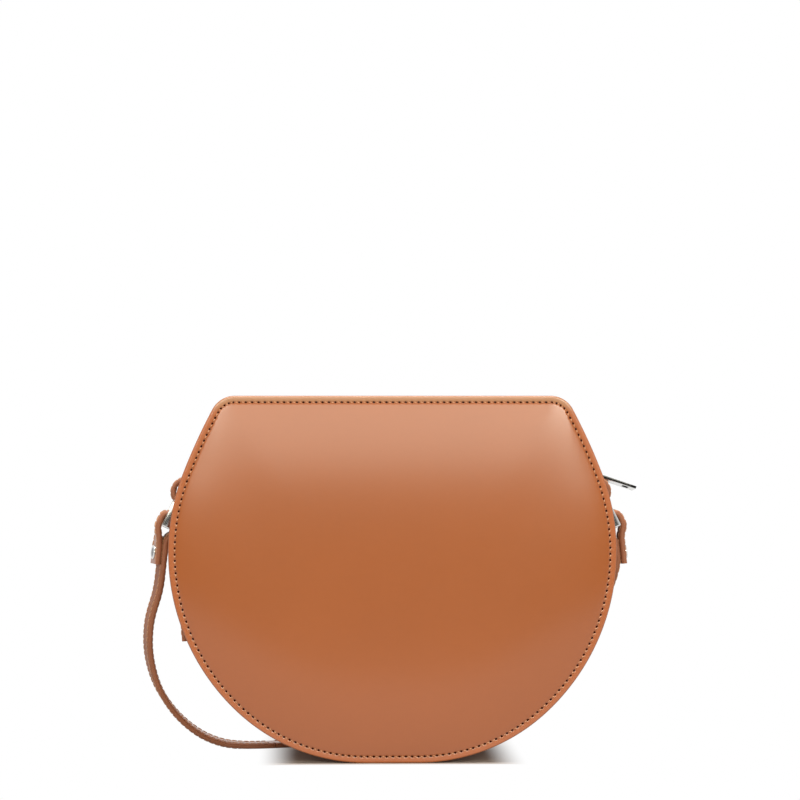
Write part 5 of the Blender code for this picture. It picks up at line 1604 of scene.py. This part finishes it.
def rivet_profiles():
    """(radius, height) points of the rivet's dished cap and of its post with the inner head."""
    face = STRAP_LEATHER / 2 + RIVET_GAP
    back = -STRAP_LEATHER * 1.5 - STRAP_LEG_GAP - RIVET_GAP
    radius, post = RIVET_CAP / 2, RIVET_POST / 2
    angle = np.radians(np.linspace(0.0, 90.0, 7))
    lip = np.stack((radius - RIVET_LIP + RIVET_LIP * np.cos(angle),
                    face + RIVET_EDGE + RIVET_LIP * np.sin(angle)), axis=-1)
    dish = (0.0, face) + RIVET_DISH * (radius, RIVET_CAP_HEIGHT)
    head = (0.0, back) + RIVET_HEAD * (radius, -RIVET_CAP_HEIGHT)
    return (np.concatenate((((0.0, face), (radius, face)), lip, dish)),
            np.concatenate((((0.0, face), (post, face), (post, back)), head)))


class BAG_OT_rivets(bpy.types.Operator):
    """Makes the rivet through each folded end of the strap"""

    bl_idname = "bag.rivets"
    bl_label = "Rivets"

    def execute(self, context):
        # The cap's dish is painted dark: a painted dark reflection
        metal = finish("rivet_metal", plated, context.scene.bag_colours.metal, 0.16,
                       DISH_PAINTED_DARK * RIVET_CAP / 2)
        middle, out = rivet_place()
        cap, post = rivet_profiles()
        for side, sign in SIDES:
            turn = context.scene.bag_sizes.strap_turn if sign == LEFT else 0.0
            for name, profile, reach in (("cap", cap, cap[:, :1]),
                                         ("post", post, np.full((len(post), 1), RIVET_CAP))):
                grid = turned(mirrored(turned_grid(profile, out), sign), turn)
                grid = grid + hang(mirrored(middle, sign)[None, :], sign)
                Skin().add(grid, pairs(0.0, reach)).piece(
                    "rivet_" + name + "_" + side, metal, "polished_metal", side + "_ring",
                    ["strap_rivet_" + name + "_" + side])
        return {"FINISHED"}


class BAG_OT_inside(bpy.types.Operator):
    """Gives the linings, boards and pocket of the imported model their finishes"""

    bl_idname = "bag.inside"
    bl_label = "Inside"

    def execute(self, context):
        colours = context.scene.bag_colours
        cloth = finish("lining_cloth", twill, colours.lining)
        board = finish("board", fibre_board, colours.board)
        for material, slot, names in (
                (cloth, "lining_cloth", ("front_lining", "back_lining", "gusset_lining",
                                         "zip_facing_front", "zip_facing_back", "inner_pocket")),
                (board, "board", ("front_stiffener", "back_stiffener", "gusset_stiffener"))):
            for name in names:
                node = frame["nodes"][name]
                node.data.materials.clear()
                node.data.materials.append(material)
        return {"FINISHED"}


# Stage

CAMERA_PLACE = (-0.046, -1.45, 0.170)
CAMERA_YAW = math.atan(0.034)
CAMERA_LENS = 139.4
WHITE = (1.0, 1.0, 1.0, 1.0)

# The floor shows the bag's shadow within these distances, and is drawn white beyond them
FLOOR_AWAY = (0.25, 0.9)
FLOOR_BESIDE = (0.044, 0.064)
FLOOR_BEFORE = (0.002, 0.008)
FLOOR_BEHIND = (0.060, 0.130)
# The floor's colour under the bag as the camera sees it: painted shade, darker and browner, that
# deepens the bag's shadow
FLOOR_PAINTED_SHADE = (0.62, 0.53, 0.46)
FLOOR_BOUNCE = 0.45
FLOOR_CORNERS = np.array((((-6.0, -0.45, 0.0), (6.0, -0.45, 0.0)),
                          ((-6.0, 8.0, 0.0), (6.0, 8.0, 0.0))))

# What metal mirrors behind the camera, and the world's plain light
ROOM_EDGE = (0.6, 0.8)
ROOM_SHADE = 0.96
FILL = 0.5

# Each lamp's name, place, size, power and colour
AIM = (0.0, 0.0, 0.10)
WARM = (1.0, 0.965, 0.83)
LAMPS = (("soft_front", (0.0, -1.95, 0.62), (2.0, 0.7), 14.5, WARM),
         ("soft_left", (-0.68, -1.85, 0.80), (0.6, 0.6), 5.0, WARM),
         ("soft_right", (0.68, -1.85, 0.80), (0.6, 0.6), 8.2, WARM),
         ("soft_top", (0.0, -0.25, 1.9), (1.2, 0.9), 34.0, WHITE[:3]))


def shown_ray(made):
    """1 for a ray from the camera, or one that metal or glass mirrors or lets through."""
    path = made.node("LightPath")
    return path.most(path.other("Is Glossy Ray")).most(path.other("Is Transmission Ray"))


def floor_finish(colour):
    """The floor: lit and shaded under and behind the bag, darker and browner there to the camera as
    painted shade, and drawn white further out.
    """
    made = Finish(bpy.data.materials.new("floor"))
    where = made.place()
    lit = made.node("VectorMath", {"operation": "LENGTH"}, {0: where}, out=1).eased(*FLOOR_AWAY)
    x, y, _ = made.split(where)
    for edge in (abs(x).eased(*FLOOR_BESIDE), (0.0 - y).eased(*FLOOR_BEFORE),
                 y.eased(*FLOOR_BEHIND)):
        lit = lit.most(edge)
    seen = shown_ray(made)
    near = made.node("BsdfDiffuse", values={"Color": made.mix(
        seen, shade(colour, FLOOR_BOUNCE), shade(colour, FLOOR_PAINTED_SHADE))})
    glow = made.node("Emission", values={"Color": WHITE, "Strength": 1.0})
    both = made.node("MixShader", values={0: lit * seen, 1: near, 2: glow})
    made.node("OutputMaterial", values={"Surface": both})
    return made.owner


def studio():
    """The world: white to the camera and in metal, but for a dark room behind the camera."""
    world = bpy.data.worlds.new("studio")
    sky = Finish(world)
    shown = shown_ray(sky)
    back = sky.split(sky.node("TexCoord"))[1]
    room = (0.0 - back).eased(*ROOM_EDGE) * ROOM_SHADE
    strength = sky.node("LightPath").most(shown * (1.0 - room)) + (1.0 - shown) * FILL
    light = sky.node("Background", values={"Color": WHITE, "Strength": strength})
    sky.node("OutputWorld", values={"Surface": light})
    return world


def soft_light(name, place, size, power, colour):
    """A rectangular soft light that looks at the bag."""
    data = bpy.data.lights.new(name, "AREA")
    data.shape = "RECTANGLE"
    data.size, data.size_y = size
    data.energy = power
    data.color = colour
    light = bpy.data.objects.new(name, data)
    light.location = place
    away = np.array(place) - np.array(AIM)
    light.rotation_euler = (math.acos(away[2] / np.linalg.norm(away)), 0.0,
                            math.atan2(away[1], away[0]) + math.pi / 2)
    bpy.context.scene.collection.objects.link(light)


class BAG_OT_stage(bpy.types.Operator):
    """Makes the floor, the soft lights, the pale background and the camera"""

    bl_idname = "bag.stage"
    bl_label = "Stage"

    def execute(self, context):
        scene = context.scene
        material = floor_finish(scene.bag_colours.floor)
        Skin().add(FLOOR_CORNERS).piece("floor", material, None, None)
        scene.world = studio()
        for lamp in LAMPS:
            soft_light(*lamp)
        data = bpy.data.cameras.new("camera")
        data.lens = CAMERA_LENS
        data.clip_end = 50.0
        camera = bpy.data.objects.new("camera", data)
        camera.location = CAMERA_PLACE
        camera.rotation_euler = (math.pi / 2, 0.0, -CAMERA_YAW)
        scene.collection.objects.link(camera)
        scene.camera = camera
        scene.view_settings.view_transform = "Standard"
        return {"FINISHED"}


class BAG_PT_panel(bpy.types.Panel):
    """Lists the steps of the bag and its sizes and colours"""

    bl_idname = "BAG_PT_panel"
    bl_label = "Half moon bag"
    bl_space_type = "VIEW_3D"
    bl_region_type = "UI"
    bl_category = "Half moon bag"

    def draw(self, context):
        for step in STEPS:
            self.layout.operator(step.bl_idname)
        for group in (context.scene.bag_sizes, context.scene.bag_colours):
            for name in group.__annotations__:
                self.layout.prop(group, name)


STEPS = (BAG_OT_panels, BAG_OT_seams, BAG_OT_gussets, BAG_OT_zip, BAG_OT_slider, BAG_OT_tabs,
         BAG_OT_rings, BAG_OT_strap, BAG_OT_rivets, BAG_OT_inside, BAG_OT_stage)
CLASSES = (BagSizes, BagColours) + STEPS + (BAG_PT_panel,)


def register():
    """Adds the add-on's classes and the scene's sizes and colours."""
    for each in CLASSES:
        bpy.utils.register_class(each)
    bpy.types.Scene.bag_sizes = bpy.props.PointerProperty(type=BagSizes)
    bpy.types.Scene.bag_colours = bpy.props.PointerProperty(type=BagColours)


def unregister():
    """Takes them out again."""
    del bpy.types.Scene.bag_colours
    del bpy.types.Scene.bag_sizes
    for each in reversed(CLASSES):
        bpy.utils.unregister_class(each)


def main():
    register()
    for step in STEPS:
        group, name = step.bl_idname.split(".")
        getattr(getattr(bpy.ops, group), name)()


if __name__ == "__main__":
    main()
